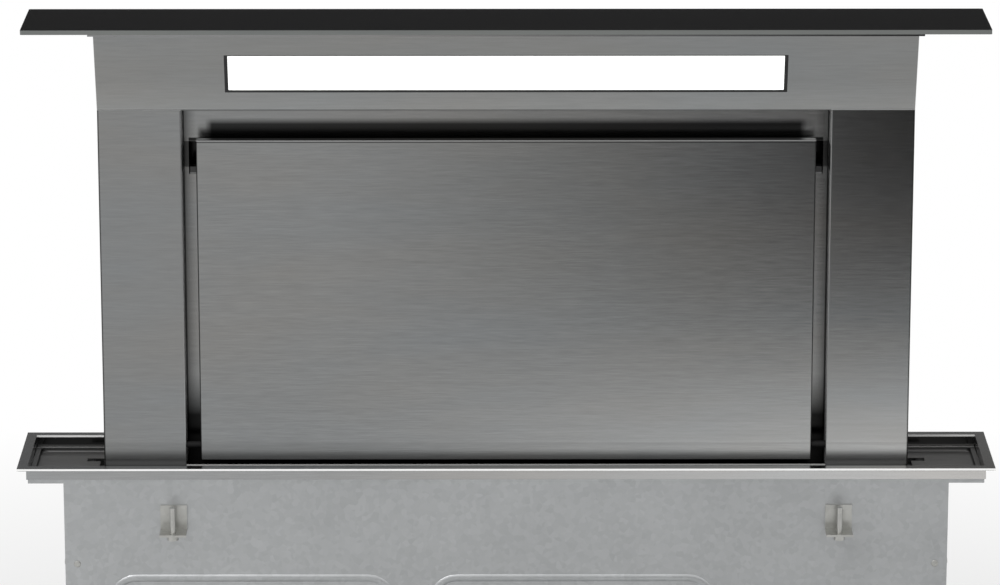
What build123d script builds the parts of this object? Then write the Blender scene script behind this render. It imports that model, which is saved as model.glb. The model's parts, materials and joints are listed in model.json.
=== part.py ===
"""Downdraft vent for a worktop, shown raised: a telescopic column with a tilting front panel,
a lit head and a glass top, over a sheet-metal housing that holds the lift drive and the blower.

Frame: X is the width (+X right), Y the depth (-Y towards the cook), +Z up. The origin is the
middle of the worktop cut-out, on the worktop's surface. All lengths are in millimetres.
"""

from build123d import *
from math import cos, pi, sin
import os

# ---------------------------------------------------------------- driving dimensions
# Worktop trim
TRIM_WIDTH = 880.0
TRIM_DEPTH = 115.0
RIM_WIDTH = 9.0
RIM_THICKNESS = 2.0
SEAL_THICKNESS = 0.6
SEAL_INSET = 1.5
SKIRT_THICKNESS = 1.2
LEDGE_DROP = 11.4
LEDGE_WIDTH = 3.0
LEDGE_SHEET = 1.0

# End trays
TRAY_SHEET = 0.8
TRAY_FLANGE = 4.0
TRAY_DEPTH = 4.0
TRAY_FIT = 0.5
TRAY_CORNER = 6.0
SLOT_GAP_FRONT = 6.0
SLOT_GAP_REAR = 3.0
NOTCH_REACH = 18.5
NOTCH_FROM = 14.0
NOTCH_DEPTH = 9.0

# Glass top
GLASS_THICKNESS = 4.0
GLASS_GAP_SIDE = 3.0
GLASS_GAP_EDGE = 2.5
GLASS_CORNER = 1.5
CARRIER_THICKNESS = 2.0
CARRIER_OVERHANG = 5.0
TOUCH_X = (120.0, 220.0)
TOUCH_DEPTH = 20.0
TOUCH_SETBACK = 6.0
TOUCH_BOARD = 1.6
TOUCH_GAP = 0.5
TOUCH_CHIP = 8.0

# Column
COLUMN_INSET = 76.0
COLUMN_DEPTH = 62.0
COLUMN_BACK = 44.0
COLUMN_SHEET = 1.2
COLUMN_EDGE = 1.0
COLUMN_TAIL = 130.0
LIFT_TRAVEL = 400.0
HEAD_HEIGHT = 72.6
HEAD_LEAN = 26.0
HEAD_FLANGE = 12.0
PILLAR_WIDTH = 74.5
PILLAR_RETURN = 14.0
RECESS_DEPTH = 26.0
SILL_DROP = 5.0
SILL_SHEET = 1.5
SILL_HEM = 16.0
APRON_SETBACK = 2.0
UPRIGHT_WIDTH = 26.0
UPRIGHT_WALL = 1.5
CROSSBAR_HEIGHT = 20.0
CROSSBAR_DEPTH = 12.0

# Light in the head
WINDOW_WIDTH = 497.0
WINDOW_FROM = 19.8
WINDOW_HEIGHT = 37.4
LIGHT_DEPTH = 14.0
LIGHT_WALL = 1.5
DIFFUSER_DEPTH = 1.5
DIFFUSER_THICKNESS = 2.0
LED_BOARD = 1.6
LED_COUNT = 24
LED_HEIGHT = 1.5
LED_SIZE = 5.0

# Front panel
PANEL_GAP_SIDE = 13.0
PANEL_GAP_TOP = 27.5
PANEL_GAP_SILL = 3.6
PANEL_THICKNESS = 9.0
PANEL_SHEET = 1.2
PANEL_EDGE = 1.0
PANEL_HEM = 7.0
PIVOT_HEIGHT = 14.0
PIVOT_RADIUS = 3.0
PIVOT_BLOCK = 16.0
PIVOT_CLEARANCE = 0.08
MAGNET_DROP = 110.0
MAGNET_LENGTH = 24.0
MAGNET_GAP = 0.3

# Intake behind the panel
INTAKE_SHEET = 1.2
INTAKE_SLOT_DROP = 34.0
INTAKE_SLOT_HEIGHT = 24.0
INTAKE_EDGE = 5.0
INTAKE_BORDER = 21.0
FRAME_OVERLAP = 12.0
MULLION = 8.0
SHELF_RISE = 14.0
SHELF_LIP = 8.0
SIDE_SLOT_INSET = 4.0
HOOK_SLOTS = ((63.0, 46.0), (171.0, 12.0))
HOOK_SLOT_WIDTH = 4.0
HOOK_SLOT_SETBACK = 8.0

# Grease filters
FILTER_THICKNESS = 9.0
FILTER_BAR = 10.0
FILTER_GAP = 1.0
FILTER_REVEAL = 6.4
SLAT_COUNT = 22
SLAT_WIDTH = 3.0
SLAT_DEPTH = 5.0
CORE_SHEET = 1.0
LUG_SPREAD = 24.0
LUG_WIDTH = 4.0
HANDLE_WIRE = 1.5
HANDLE_LENGTH = 16.0
HANDLE_DROP = 21.0
HANDLE_STANDOFF = 3.2

# Housing under the worktop
HOUSING_HEIGHT = 670.0
HOUSING_SHEET = 1.0
HOUSING_GAP = 3.0
GUIDE_SPACE = 34.0
WIPER_THICKNESS = 3.0
BRACKET_REACH = 34.0
BRACKET_DEPTH = 76.0
BRACKET_HEIGHT = 40.0
BRACKET_SHEET = 2.5
BRACKET_HOLE = 2.75
BRACKET_EDGE = 12.0
BRACKET_SPACING = 50.0
CLAMP_INSET = 64.0
CLAMP_WIDTH = 24.0
CLAMP_REACH = 22.0
CLAMP_DROP = 34.0
CLAMP_SHEET = 2.0
CLAMP_SCREW = 2.5

# Lift
DRIVE_FORWARD = 20.0
SHAFT_RADIUS = 5.0
SHAFT_CLEARANCE = 0.05
SHAFT_HEIGHT = 105.0
PULLEY_PITCH = 12.5
PULLEY_TEETH = 15
GROOVE_RADIUS = 1.1
FLANGE_SHEET = 1.2
BELT_THICKNESS = 1.4
BELT_WIDTH = 10.0
BELT_CLEARANCE = 0.3
BELT_INSET = 8.0
BEARING_SIZE = 15.0
IDLER_DROP = 40.0
IDLER_PIN = 3.0
IDLER_PLATE = 3.0
PIN_HEAD = 2.0
GEARBOX_X = 80.0
GEARBOX_SIZE = (46.0, 54.0, 54.0)
GEARBOX_FORWARD = 24.0
GEARBOX_BOSS = 4.0
MOTOR_RADIUS = 19.0
MOTOR_LENGTH = 70.0
MOTOR_CAP = 3.0
SHELF_MARGIN = 8.0
RAIL_DEPTH = 28.0
RAIL_WIDTH = 22.0
RAIL_WALL = 2.0
RAIL_LIP = 4.0
RAIL_RUNOUT = 4.0
RAIL_HEADROOM = 2.0
SHOE_LENGTH = 26.0
SHOE_INSET = 4.0
SLIDE_CLEARANCE = 0.5
JAW_WALL = 3.6
JAW_DROP = 66.0
JAW_HEIGHT = 24.0

# Blower
BLOWER_WIDTH = 420.0
BLOWER_DEPTH = 192.0
BLOWER_HEIGHT = 310.0
BLOWER_LIFT = 10.0
BLOWER_SHEET = 1.0
WHEEL_X = 30.0
IMPELLER_RADIUS = 85.0
IMPELLER_WIDTH = 66.0
BLADE_COUNT = 36
BLADE_THICKNESS = 1.2
BLADE_DEPTH = 13.0
BLADE_LEAN = 4.6
DISC_THICKNESS = 2.5
HUB_RADIUS = 14.0
HUB_LENGTH = 28.0
WHEEL_GAP = 4.0
VOLUTE_DEPTH = 88.0
VOLUTE_WALL = 2.0
VOLUTE_START = 93.0
VOLUTE_GROWTH = 44.0
TONGUE_TURN = 210.0
SCROLL_SWEEP = 300.0
SPIRAL_STEPS = 10
INLET_RADIUS = 70.0
INLET_LIP = 6.0
INTAKE_MARGIN = 5.0
POST_RADIUS = 5.0
POST_TURNS = (90.0, 0.0, -90.0)
MOTOR_CAN = 44.0
MOTOR_FLANGE = 54.0
MOTOR_DEPTH = 50.0
MOTOR_ROUND = 5.0
MOTOR_SHAFT = 5.0
FLANGE_DEPTH = 3.0

# Outlet and its flaps
DUCT_RADIUS = 75.0
DUCT_WALL = 2.0
DUCT_LENGTH = 92.0
DUCT_MARGIN = 7.0
FLAP_SETBACK = 30.0
FLAP_SHEET = 1.5
FLAP_PIN = 2.0
FLAP_KNUCKLE = 4.0
FLAP_GAP = 2.0
KNUCKLE_LENGTH = 30.0
STOP_WIDTH = 4.0

# Lids and their screws
LID_FLANGE = 12.0
LID_SHEET = 1.0
SCREW_RADIUS = 2.0
SCREW_HEAD = 4.0
SCREW_CROWN = 2.4
SCREW_SLOT = 1.0
SCREW_LENGTH = 8.0

# Control box
CONTROL_WIDTH = 140.0
CONTROL_HEIGHT = 150.0
CONTROL_INSET = 28.0
CONTROL_DROP = 180.0
CONTROL_DEPTH = 50.0
CONTROL_WALL = 2.0
BOARD_INSET = 16.0
BOARD_STANDOFF = 8.0
BOARD_SHEET = 1.6
TRANSFORMER = 35.0
TRANSFORMER_HEIGHT = 26.0
RELAY_COUNT = 4
RELAY_PITCH = 16.0
RELAY_WIDTH = 16.0
RELAY_HEIGHT = 11.0
TERMINAL_LENGTH = 50.0
GLAND_INSET = 40.0
GLAND_RADIUS = 9.0
GLAND_BORE = 3.5
GLAND_LENGTH = 18.0
NUT_RADIUS = 10.8
NUT_HEIGHT = 5.0

# ---------------------------------------------------------------- places that follow
rim_bottom = SEAL_THICKNESS
rim_top = rim_bottom + RIM_THICKNESS
open_x = TRIM_WIDTH / 2 - RIM_WIDTH
open_y = TRIM_DEPTH / 2 - RIM_WIDTH
ledge_top = rim_top - LEDGE_DROP
ledge_bottom = ledge_top - LEDGE_SHEET

column_x = TRIM_WIDTH / 2 - COLUMN_INSET
column_back = COLUMN_BACK
column_front = column_back - COLUMN_DEPTH
column_bottom = -COLUMN_TAIL
glass_top_z = rim_top + LIFT_TRAVEL
glass_bottom = glass_top_z - GLASS_THICKNESS
head_top = glass_bottom - CARRIER_THICKNESS
head_bottom = head_top - HEAD_HEIGHT
head_front = column_front - HEAD_LEAN
recess_x = column_x - PILLAR_WIDTH
recess_back = column_front + RECESS_DEPTH
sill_top = -SILL_DROP

window_up = (WINDOW_FROM, WINDOW_FROM + WINDOW_HEIGHT)
light_back = COLUMN_SHEET + LIGHT_DEPTH

slot_z = (head_bottom - INTAKE_SLOT_DROP - INTAKE_SLOT_HEIGHT, head_bottom - INTAKE_SLOT_DROP)
panel_x = recess_x - PANEL_GAP_SIDE
panel_z = (sill_top + PANEL_GAP_SILL, head_bottom - PANEL_GAP_TOP)
panel_y = (column_front, column_front + PANEL_THICKNESS)
pivot_y = sum(panel_y) / 2
pivot_z = panel_z[0] + PIVOT_HEIGHT

housing_x = column_x + GUIDE_SPACE
housing_front_y = head_front - HOUSING_GAP
housing_back_y = column_back + HOUSING_GAP
housing_bottom = -HOUSING_HEIGHT

blower_back = housing_front_y - HOUSING_SHEET
blower_front = blower_back - BLOWER_DEPTH
blower_x = (-BLOWER_WIDTH / 2, BLOWER_WIDTH / 2)
blower_z = (housing_bottom + BLOWER_LIFT, housing_bottom + BLOWER_LIFT + BLOWER_HEIGHT)
duct_z = blower_z[0] + DUCT_RADIUS + DUCT_MARGIN
duct_y = blower_back - DUCT_RADIUS - DUCT_MARGIN
scroll_end = VOLUTE_START + VOLUTE_GROWTH
tongue_drop = VOLUTE_START / 2
wheel_x = WHEEL_X
wheel_z = duct_z + (scroll_end + tongue_drop) / 2
volute_y = (duct_y - VOLUTE_DEPTH / 2, duct_y + VOLUTE_DEPTH / 2)
split_y = sum(volute_y) / 2
wheel_low = volute_y[0] + VOLUTE_WALL + WHEEL_GAP
wheel_y = (wheel_low, wheel_low + IMPELLER_WIDTH)
intake_half = IMPELLER_RADIUS + INTAKE_MARGIN
intake_x = (wheel_x - intake_half, wheel_x + intake_half)
intake_z = (wheel_z - intake_half, wheel_z + intake_half)
flap_x = blower_x[0] - FLAP_SETBACK
bore_radius = DUCT_RADIUS - DUCT_WALL

AXES = {"x": (1, 0, 0), "y": (0, 1, 0), "z": (0, 0, 1)}


# ---------------------------------------------------------------- small helpers
def slab(x, y, z):
    """A block between three (low, high) pairs."""
    pairs = (x, y, z)
    size = [high - low for low, high in pairs]
    middle = [(low + high) / 2 for low, high in pairs]
    return Pos(*middle) * Box(*size)


def along(axis, at, a, b):
    """The point at a distance along one axis, and at a and b on the other two in X, Y, Z order."""
    return {"x": (at, a, b), "y": (a, at, b), "z": (a, b, at)}[axis]


def prism(points, axis, low, high):
    """A flat outline in the plane across an axis, extruded along it."""
    outline = Polyline(*[along(axis, low, a, b) for a, b in points], close=True)
    return extrude(make_face(outline), amount=high - low, dir=AXES[axis])


def rod(axis, a, b, radius, low, high):
    """A cylinder along an axis."""
    plane = Plane(origin=along(axis, low, a, b), z_dir=AXES[axis])
    return extrude(plane * Circle(radius), amount=high - low)


def tube(axis, a, b, outer, inner, low, high):
    """A cylinder along an axis with a bore through it."""
    return rod(axis, a, b, outer, low, high) - rod(axis, a, b, inner, low - 1, high + 1)


def edge_at(shape, x, y):
    """The upright edge of a shape that is nearest to a place."""
    upright = shape.edges().filter_by(Axis.Z)
    return min(upright, key=lambda edge: abs(edge.center().X - x) + abs(edge.center().Y - y))


def frame_of(outer, inner, z):
    """A rectangular ring about the Z axis between two half-sizes."""
    (ox, oy), (ix, iy) = outer, inner
    return slab((-ox, ox), (-oy, oy), z) - slab((-ix, ix), (-iy, iy), (z[0] - 1, z[1] + 1))


def mirrored(shape):
    """The same piece on the other side of the middle."""
    return mirror(shape, about=Plane.YZ)


def both(shape):
    """A piece and its mirror image, as separate solids."""
    return [shape, mirrored(shape)]


def save(node, *shapes):
    """Writes one sub-part, from one solid or from a group of like solids."""
    solids = [solid for shape in shapes for solid in shape.solids()]
    whole = solids[0] if len(solids) == 1 else Compound(children=solids)
    export_step(whole, f"parts/{node}.step")


# ---------------------------------------------------------------- worktop trim and trays
def trim_frame():
    """The flush steel rim, its skirt through the cut-out and the ledge the trays rest on."""
    inner = (open_x, open_y)
    skirt = (open_x + SKIRT_THICKNESS, open_y + SKIRT_THICKNESS)
    rim = frame_of((TRIM_WIDTH / 2, TRIM_DEPTH / 2), inner, (rim_bottom, rim_top))
    wall = frame_of(skirt, inner, (ledge_bottom, rim_bottom))
    ledge = frame_of(inner, (open_x - LEDGE_WIDTH, open_y - LEDGE_WIDTH), (ledge_bottom, ledge_top))
    return rim + wall + ledge


def trim_seal():
    """The flat foam strip between the rim and the worktop."""
    inner = (open_x + SKIRT_THICKNESS, open_y + SKIRT_THICKNESS)
    outer = (TRIM_WIDTH / 2 - SEAL_INSET, TRIM_DEPTH / 2 - SEAL_INSET)
    return frame_of(outer, inner, (0, SEAL_THICKNESS))


tray_top = ledge_top + TRAY_SHEET
tray_floor = tray_top - TRAY_DEPTH
tray_bottom = tray_floor - TRAY_SHEET


def end_tray():
    """The pressed drip tray at the right end, cut out around the column."""
    out_x = open_x - TRAY_FIT
    out_y = open_y - TRAY_FIT
    front_x = column_x + SLOT_GAP_FRONT
    rear_x = column_x + SLOT_GAP_REAR
    notch_x = column_x + NOTCH_REACH
    notch_back = NOTCH_FROM + NOTCH_DEPTH
    outline = [
        (front_x, -out_y),
        (out_x, -out_y),
        (out_x, out_y),
        (rear_x, out_y),
        (rear_x, notch_back),
        (notch_x, notch_back),
        (notch_x, NOTCH_FROM),
        (front_x, NOTCH_FROM),
    ]
    plate = prism(outline, "z", tray_bottom, tray_top)
    pocket_x = (column_x - TRAY_CORNER, out_x - TRAY_FLANGE)
    pocket_y = out_y - TRAY_FLANGE
    pocket = slab(pocket_x, (-pocket_y, pocket_y), (tray_floor, tray_top + TRAY_DEPTH))
    pocket = fillet(pocket.edges().filter_by(Axis.Z), TRAY_CORNER)
    pocket = fillet(pocket.faces().sort_by(Axis.Z)[0].edges(), TRAY_DEPTH / 2)
    wall_x = (pocket_x[0], pocket_x[1] + TRAY_SHEET)
    wall_y = (-pocket_y - TRAY_SHEET, pocket_y + TRAY_SHEET)
    kept = slab(wall_x, wall_y, (tray_bottom, tray_top))
    flange = slab((pocket_x[0], out_x), (-out_y, out_y), (ledge_top, tray_top))
    return (plate & (kept + flange)) - pocket


# ---------------------------------------------------------------- housing under the worktop
shoulder_z = tray_bottom - HOUSING_SHEET


def housing_side():
    """The right side: a riser to the trim, a shoulder under the tray and the long wall."""
    y = (housing_front_y, housing_back_y)
    sheet = HOUSING_SHEET
    wall = slab((housing_x, housing_x + sheet), y, (housing_bottom, shoulder_z + sheet))
    shoulder = slab((housing_x, open_x), y, (shoulder_z, shoulder_z + sheet))
    riser = slab((open_x - sheet, open_x), y, (shoulder_z, ledge_bottom))
    return wall + shoulder + riser


def housing_sheet(y):
    """A front or back sheet with ears that reach out under the trays."""
    x = housing_x + HOUSING_SHEET
    outline = [
        (-x, housing_bottom),
        (x, housing_bottom),
        (x, shoulder_z),
        (open_x, shoulder_z),
        (open_x, ledge_bottom),
        (-open_x, ledge_bottom),
        (-open_x, shoulder_z),
        (-x, shoulder_z),
    ]
    return prism(outline, "y", *y)


def housing_front():
    """The front sheet, with the opening that the blower draws through."""
    y = (housing_front_y - HOUSING_SHEET, housing_front_y)
    return housing_sheet(y) - slab(intake_x, (y[0] - 1, y[1] + 1), intake_z)


def housing_back():
    """The back sheet, folded forward at the foot to close the bottom."""
    depth = (housing_front_y, housing_back_y)
    floor = slab((-housing_x, housing_x), depth, (housing_bottom, housing_bottom + HOUSING_SHEET))
    return housing_sheet((housing_back_y, housing_back_y + HOUSING_SHEET)) + floor


bracket_hole_x = housing_x + HOUSING_SHEET + BRACKET_REACH - BRACKET_EDGE


def floor_bracket():
    """The right angle bracket that screws the housing to the cabinet floor."""
    x = housing_x + HOUSING_SHEET
    y = (-BRACKET_DEPTH / 2, BRACKET_DEPTH / 2)
    foot = slab((x, x + BRACKET_REACH), y, (housing_bottom, housing_bottom + BRACKET_SHEET))
    upright = slab((x, x + BRACKET_SHEET), y, (housing_bottom, housing_bottom + BRACKET_HEIGHT))
    low, high = housing_bottom - 1, housing_bottom + BRACKET_SHEET + 1
    for side in (-1, 1):
        foot -= rod("z", bracket_hole_x, side * BRACKET_SPACING / 2, BRACKET_HOLE, low, high)
    return foot + upright


clamp_x = column_x - CLAMP_INSET


def worktop_clamps():
    """Four hooks on the housing that pull the trim down on the worktop, each with its screw."""
    pieces = []
    for side in (-1, 1):
        for face, out in ((housing_front_y - HOUSING_SHEET, -1), (housing_back_y + HOUSING_SHEET, 1)):
            x = (side * clamp_x - CLAMP_WIDTH / 2, side * clamp_x + CLAMP_WIDTH / 2)
            low = -CLAMP_DROP - CLAMP_WIDTH
            plate = slab(x, tuple(sorted((face, face + out * CLAMP_SHEET))), (low, -CLAMP_DROP))
            arm_y = tuple(sorted((face, face + out * CLAMP_REACH)))
            arm = slab(x, arm_y, (low, low + CLAMP_SHEET))
            screw_y = face + out * (CLAMP_REACH - CLAMP_WIDTH / 4)
            hole = rod("z", side * clamp_x, screw_y, CLAMP_SCREW, low - 1, low + CLAMP_SHEET + 1)
            shank = rod("z", side * clamp_x, screw_y, CLAMP_SCREW, low - 1, -CLAMP_DROP + 2)
            head = rod("z", side * clamp_x, screw_y, 2 * CLAMP_SCREW, low - 4, low)
            pieces += [plate + arm - hole, shank + head]
    return pieces


# ---------------------------------------------------------------- lift drive
rail_x = (housing_x - RAIL_WIDTH, housing_x)
rail_mid = column_back - RAIL_WIDTH
rail_y = (rail_mid - RAIL_DEPTH / 2, rail_mid + RAIL_DEPTH / 2)
rail_bottom = column_bottom - LIFT_TRAVEL - RAIL_RUNOUT
rail_top = shoulder_z - RAIL_HEADROOM
mouth = (rail_y[0] + RAIL_WALL + RAIL_LIP, rail_y[1] - RAIL_WALL - RAIL_LIP)


def guide_rail():
    """The right guide rail, a lipped channel open towards the column."""
    z = (rail_bottom, rail_top)
    through = (z[0] - 1, z[1] + 1)
    inside_y = (rail_y[0] + RAIL_WALL, rail_y[1] - RAIL_WALL)
    inside = slab((rail_x[0] + RAIL_WALL, rail_x[1] - RAIL_WALL), inside_y, through)
    opening = slab((rail_x[0] - 1, rail_x[0] + RAIL_WALL + 1), mouth, through)
    return slab(rail_x, rail_y, z) - inside - opening


drive_y = -DRIVE_FORWARD
drive_z = housing_bottom + SHAFT_HEIGHT
idler_z = -IDLER_DROP
belt_inner = PULLEY_PITCH - BELT_THICKNESS / 2
belt_outer = PULLEY_PITCH + BELT_THICKNESS / 2
belt_x = (housing_x - BELT_INSET - BELT_WIDTH, housing_x - BELT_INSET)
pulley_x = (belt_x[0] - FLANGE_SHEET - BELT_CLEARANCE, belt_x[1] + FLANGE_SHEET + BELT_CLEARANCE)


def loop(radius, x):
    """A belt's outline at a radius from its two pulleys, as a closed solid."""
    straight = slab(x, (drive_y - radius, drive_y + radius), (drive_z, idler_z))
    return straight + rod("x", drive_y, drive_z, radius, *x) + rod("x", drive_y, idler_z, radius, *x)


def lift_belt():
    """The right lift belt, a loop from the drive pulley to the idler."""
    return loop(belt_outer, belt_x) - loop(belt_inner, (belt_x[0] - 1, belt_x[1] + 1))


def pulley(z, bore):
    """The right belt pulley at a height: a toothed rim between two flanges."""
    radius = belt_inner - BELT_CLEARANCE
    rim = rod("x", drive_y, z, radius, *pulley_x)
    for tooth in range(PULLEY_TEETH):
        turn = 2 * pi * tooth / PULLEY_TEETH
        rim -= rod("x", drive_y + radius * cos(turn), z + radius * sin(turn), GROOVE_RADIUS, *belt_x)
    for low in (pulley_x[0], pulley_x[1] - FLANGE_SHEET):
        rim += rod("x", drive_y, z, belt_outer + FLANGE_SHEET, low, low + FLANGE_SHEET)
    return rim - rod("x", drive_y, z, bore, pulley_x[0] - 1, pulley_x[1] + 1)


bearing_x = (pulley_x[1] + SLIDE_CLEARANCE, housing_x)


def drive_shaft():
    """The steel cross shaft that turns both drive pulleys together."""
    end = housing_x - SLIDE_CLEARANCE
    return rod("x", drive_y, drive_z, SHAFT_RADIUS, -end, end)


def shaft_bearing():
    """The right flange bearing, fixed to the housing's side wall."""
    y = (drive_y - BEARING_SIZE, drive_y + BEARING_SIZE)
    block = slab(bearing_x, y, (drive_z - BEARING_SIZE, drive_z + BEARING_SIZE))
    block = fillet(block.edges().filter_by(Axis.X), BEARING_SIZE / 3)
    bore = SHAFT_RADIUS + SHAFT_CLEARANCE
    return block - rod("x", drive_y, drive_z, bore, bearing_x[0] - 1, bearing_x[1] + 1)


def idler_bracket():
    """The right idler's plate on the side wall, with its pin and the pin's head."""
    y = (drive_y - BEARING_SIZE, drive_y + BEARING_SIZE)
    z = (idler_z - BEARING_SIZE, idler_z + BEARING_SIZE)
    plate = slab((housing_x - IDLER_PLATE, housing_x), y, z)
    end = pulley_x[0] - SLIDE_CLEARANCE - PIN_HEAD
    pin = rod("x", drive_y, idler_z, IDLER_PIN, end, housing_x)
    return plate + pin + rod("x", drive_y, idler_z, IDLER_PIN + PIN_HEAD, end, end + PIN_HEAD)


gearbox_x = (GEARBOX_X - GEARBOX_SIZE[0] / 2, GEARBOX_X + GEARBOX_SIZE[0] / 2)
gearbox_y = (drive_y - GEARBOX_FORWARD, drive_y - GEARBOX_FORWARD + GEARBOX_SIZE[1])
gearbox_z = (drive_z - GEARBOX_SIZE[2] / 2, drive_z + GEARBOX_SIZE[2] / 2)
motor_y = sum(gearbox_y) / 2


def lift_gearbox():
    """The worm gearbox that the cross shaft runs through."""
    body = slab(gearbox_x, gearbox_y, gearbox_z)
    body = fillet(body.edges().filter_by(Axis.X), 8.0)
    boss_x = (gearbox_x[0] - GEARBOX_BOSS, gearbox_x[1] + GEARBOX_BOSS)
    boss = rod("x", drive_y, drive_z, 3 * SHAFT_RADIUS, *boss_x)
    bore = rod("x", drive_y, drive_z, SHAFT_RADIUS + SHAFT_CLEARANCE, boss_x[0] - 1, boss_x[1] + 1)
    return body + boss - bore


def lift_motor():
    """The small upright motor below the gearbox, with its end cap."""
    top = gearbox_z[0]
    low = top - MOTOR_LENGTH
    can = rod("z", GEARBOX_X, motor_y, MOTOR_RADIUS, low, top)
    can = chamfer(can.faces().sort_by(Axis.Z)[0].edges(), MOTOR_CAP / 2)
    return can + rod("z", GEARBOX_X, motor_y, MOTOR_RADIUS / 3, low - MOTOR_CAP, low)


def gearmotor_bracket():
    """The shelf that carries the gearmotor off the back sheet, with a hole for the motor."""
    x = (gearbox_x[0] - SHELF_MARGIN, gearbox_x[1] + SHELF_MARGIN)
    low = gearbox_z[0] - BRACKET_SHEET
    shelf = slab(x, (gearbox_y[0], housing_back_y), (low, gearbox_z[0]))
    upright = slab(x, (housing_back_y - BRACKET_SHEET, housing_back_y), (low, gearbox_z[1]))
    hole = rod("z", GEARBOX_X, motor_y, MOTOR_RADIUS + SLIDE_CLEARANCE, low - 1, gearbox_z[0] + 1)
    return shelf + upright - hole


def column_wiper():
    """The right rubber lip that closes the gap between the column and the housing's shoulder."""
    z = (shoulder_z - WIPER_THICKNESS, shoulder_z)
    x = (column_x + SLIDE_CLEARANCE, housing_x)
    front = slab(x, (housing_front_y, rail_y[0] - SLIDE_CLEARANCE), z)
    return front + slab(x, (rail_y[1] + SLIDE_CLEARANCE, housing_back_y), z)


# ---------------------------------------------------------------- column
def pillar():
    """The right pillar: one folded sheet with front, outer side, rear return and recess wall."""
    t = COLUMN_SHEET
    outline = [
        (recess_x, recess_back),
        (recess_x, column_front),
        (column_x, column_front),
        (column_x, column_back),
        (column_x - PILLAR_RETURN, column_back),
        (column_x - PILLAR_RETURN, column_back - t),
        (column_x - t, column_back - t),
        (column_x - t, column_front + t),
        (recess_x + t, column_front + t),
        (recess_x + t, recess_back),
    ]
    wall = (recess_x - 1, recess_x + t + 1)
    sheet = prism(outline, "z", column_bottom, head_bottom)
    corners = [(recess_x, column_front), (column_x, column_front), (column_x, column_back)]
    sheet = fillet([edge_at(sheet, x, y) for x, y in corners], COLUMN_EDGE)
    sheet -= slab(wall, (column_front + SIDE_SLOT_INSET, recess_back - SIDE_SLOT_INSET), slot_z)
    for top, length in HOOK_SLOTS:
        high = head_bottom - top
        y = recess_back - HOOK_SLOT_SETBACK
        sheet -= slab(wall, (y - HOOK_SLOT_WIDTH / 2, y + HOOK_SLOT_WIDTH / 2), (high - length, high))
    return sheet - rod("x", pivot_y, pivot_z, PIVOT_RADIUS + PIVOT_CLEARANCE, *wall)


def back_panel():
    """The column's back sheet, held inside the pillars' rear returns."""
    t = COLUMN_SHEET
    x = column_x - t - SLIDE_CLEARANCE
    return slab((-x, x), (column_back - 2 * t, column_back - t), (column_bottom, head_bottom))


def on_head(up, deep):
    """A (Y, Z) point on the leaning face: a distance up the slope and a depth behind the face."""
    slope = (HEAD_LEAN**2 + HEAD_HEIGHT**2) ** 0.5
    lean, rise = HEAD_LEAN / slope, HEAD_HEIGHT / slope
    return column_front - lean * up + rise * deep, head_bottom + rise * up + lean * deep


def behind_head(half_width, up, deep):
    """A block behind the leaning face, between two distances up the slope and two depths."""
    corners = [(up[0], deep[0]), (up[1], deep[0]), (up[1], deep[1]), (up[0], deep[1])]
    return prism([on_head(u, d) for u, d in corners], "x", -half_width, half_width)


def head_shell():
    """The leaning head: one folded sheet, open above and below, with the light's window."""
    t = COLUMN_SHEET
    outside = [
        (column_front, head_bottom),
        (head_front, head_top),
        (column_back, head_top),
        (column_back, head_bottom),
    ]
    over = HEAD_HEIGHT
    inside = [
        on_head(-over, t),
        on_head(2 * over, t),
        (column_back - t, head_top + over),
        (column_back - t, head_bottom - over),
    ]
    block = prism(outside, "x", -column_x, column_x)
    ends = block.faces().filter_by(Axis.X)
    corners = [end.edges().sort_by(Axis.Y)[n] for end in ends for n in (0, -1)]
    shell = fillet(corners, COLUMN_EDGE) - prism(inside, "x", t - column_x, column_x - t)
    flange_y = (column_front + t, column_front + HEAD_FLANGE)
    flange = slab((t - column_x, column_x - t), flange_y, (head_bottom, head_bottom + t))
    window = behind_head(WINDOW_WIDTH / 2, window_up, (-1, t + 1))
    return shell + flange - window


def light_tray():
    """The folded tray behind the window that holds the light."""
    w = LIGHT_WALL
    up = (window_up[0] - w, window_up[1] + w)
    outer = behind_head(WINDOW_WIDTH / 2 + w, up, (COLUMN_SHEET, light_back + w))
    return outer - behind_head(WINDOW_WIDTH / 2, window_up, (0, light_back))


def light_diffuser():
    """The opal plate that fills the window's opening."""
    near = COLUMN_SHEET + DIFFUSER_DEPTH
    return behind_head(WINDOW_WIDTH / 2, window_up, (near, near + DIFFUSER_THICKNESS))


def led_board():
    """The lit board on the tray's floor, with its row of diodes."""
    near = light_back - LED_BOARD
    board_up = (window_up[0] + LED_SIZE, window_up[1] - LED_SIZE)
    board = behind_head(WINDOW_WIDTH / 2 - LED_SIZE, board_up, (near, light_back))
    middle = sum(window_up) / 2
    up = (middle - LED_SIZE / 2, middle + LED_SIZE / 2)
    pitch = (WINDOW_WIDTH - 4 * LED_SIZE) / LED_COUNT
    for n in range(LED_COUNT):
        x = (n - (LED_COUNT - 1) / 2) * pitch
        board += Pos(x, 0, 0) * behind_head(LED_SIZE / 2, up, (near - LED_HEIGHT, near))
    return board


touch_y = (head_front + TOUCH_SETBACK, head_front + TOUCH_SETBACK + TOUCH_DEPTH)


def glass_top():
    """The black glass plate that closes the worktop flush when the column is down."""
    x = open_x - GLASS_GAP_SIDE
    y = open_y - GLASS_GAP_EDGE
    plate = slab((-x, x), (-y, y), (glass_bottom, glass_top_z))
    return fillet(plate.edges().filter_by(Axis.Z), GLASS_CORNER)


def glass_carrier():
    """The steel plate under the glass, cut out where the touch board looks through."""
    x = column_x + CARRIER_OVERHANG
    plate = slab((-x, x), (head_front, column_back), (head_top, glass_bottom))
    return plate - slab(TOUCH_X, touch_y, (head_top - 1, glass_bottom + 1))


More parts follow.
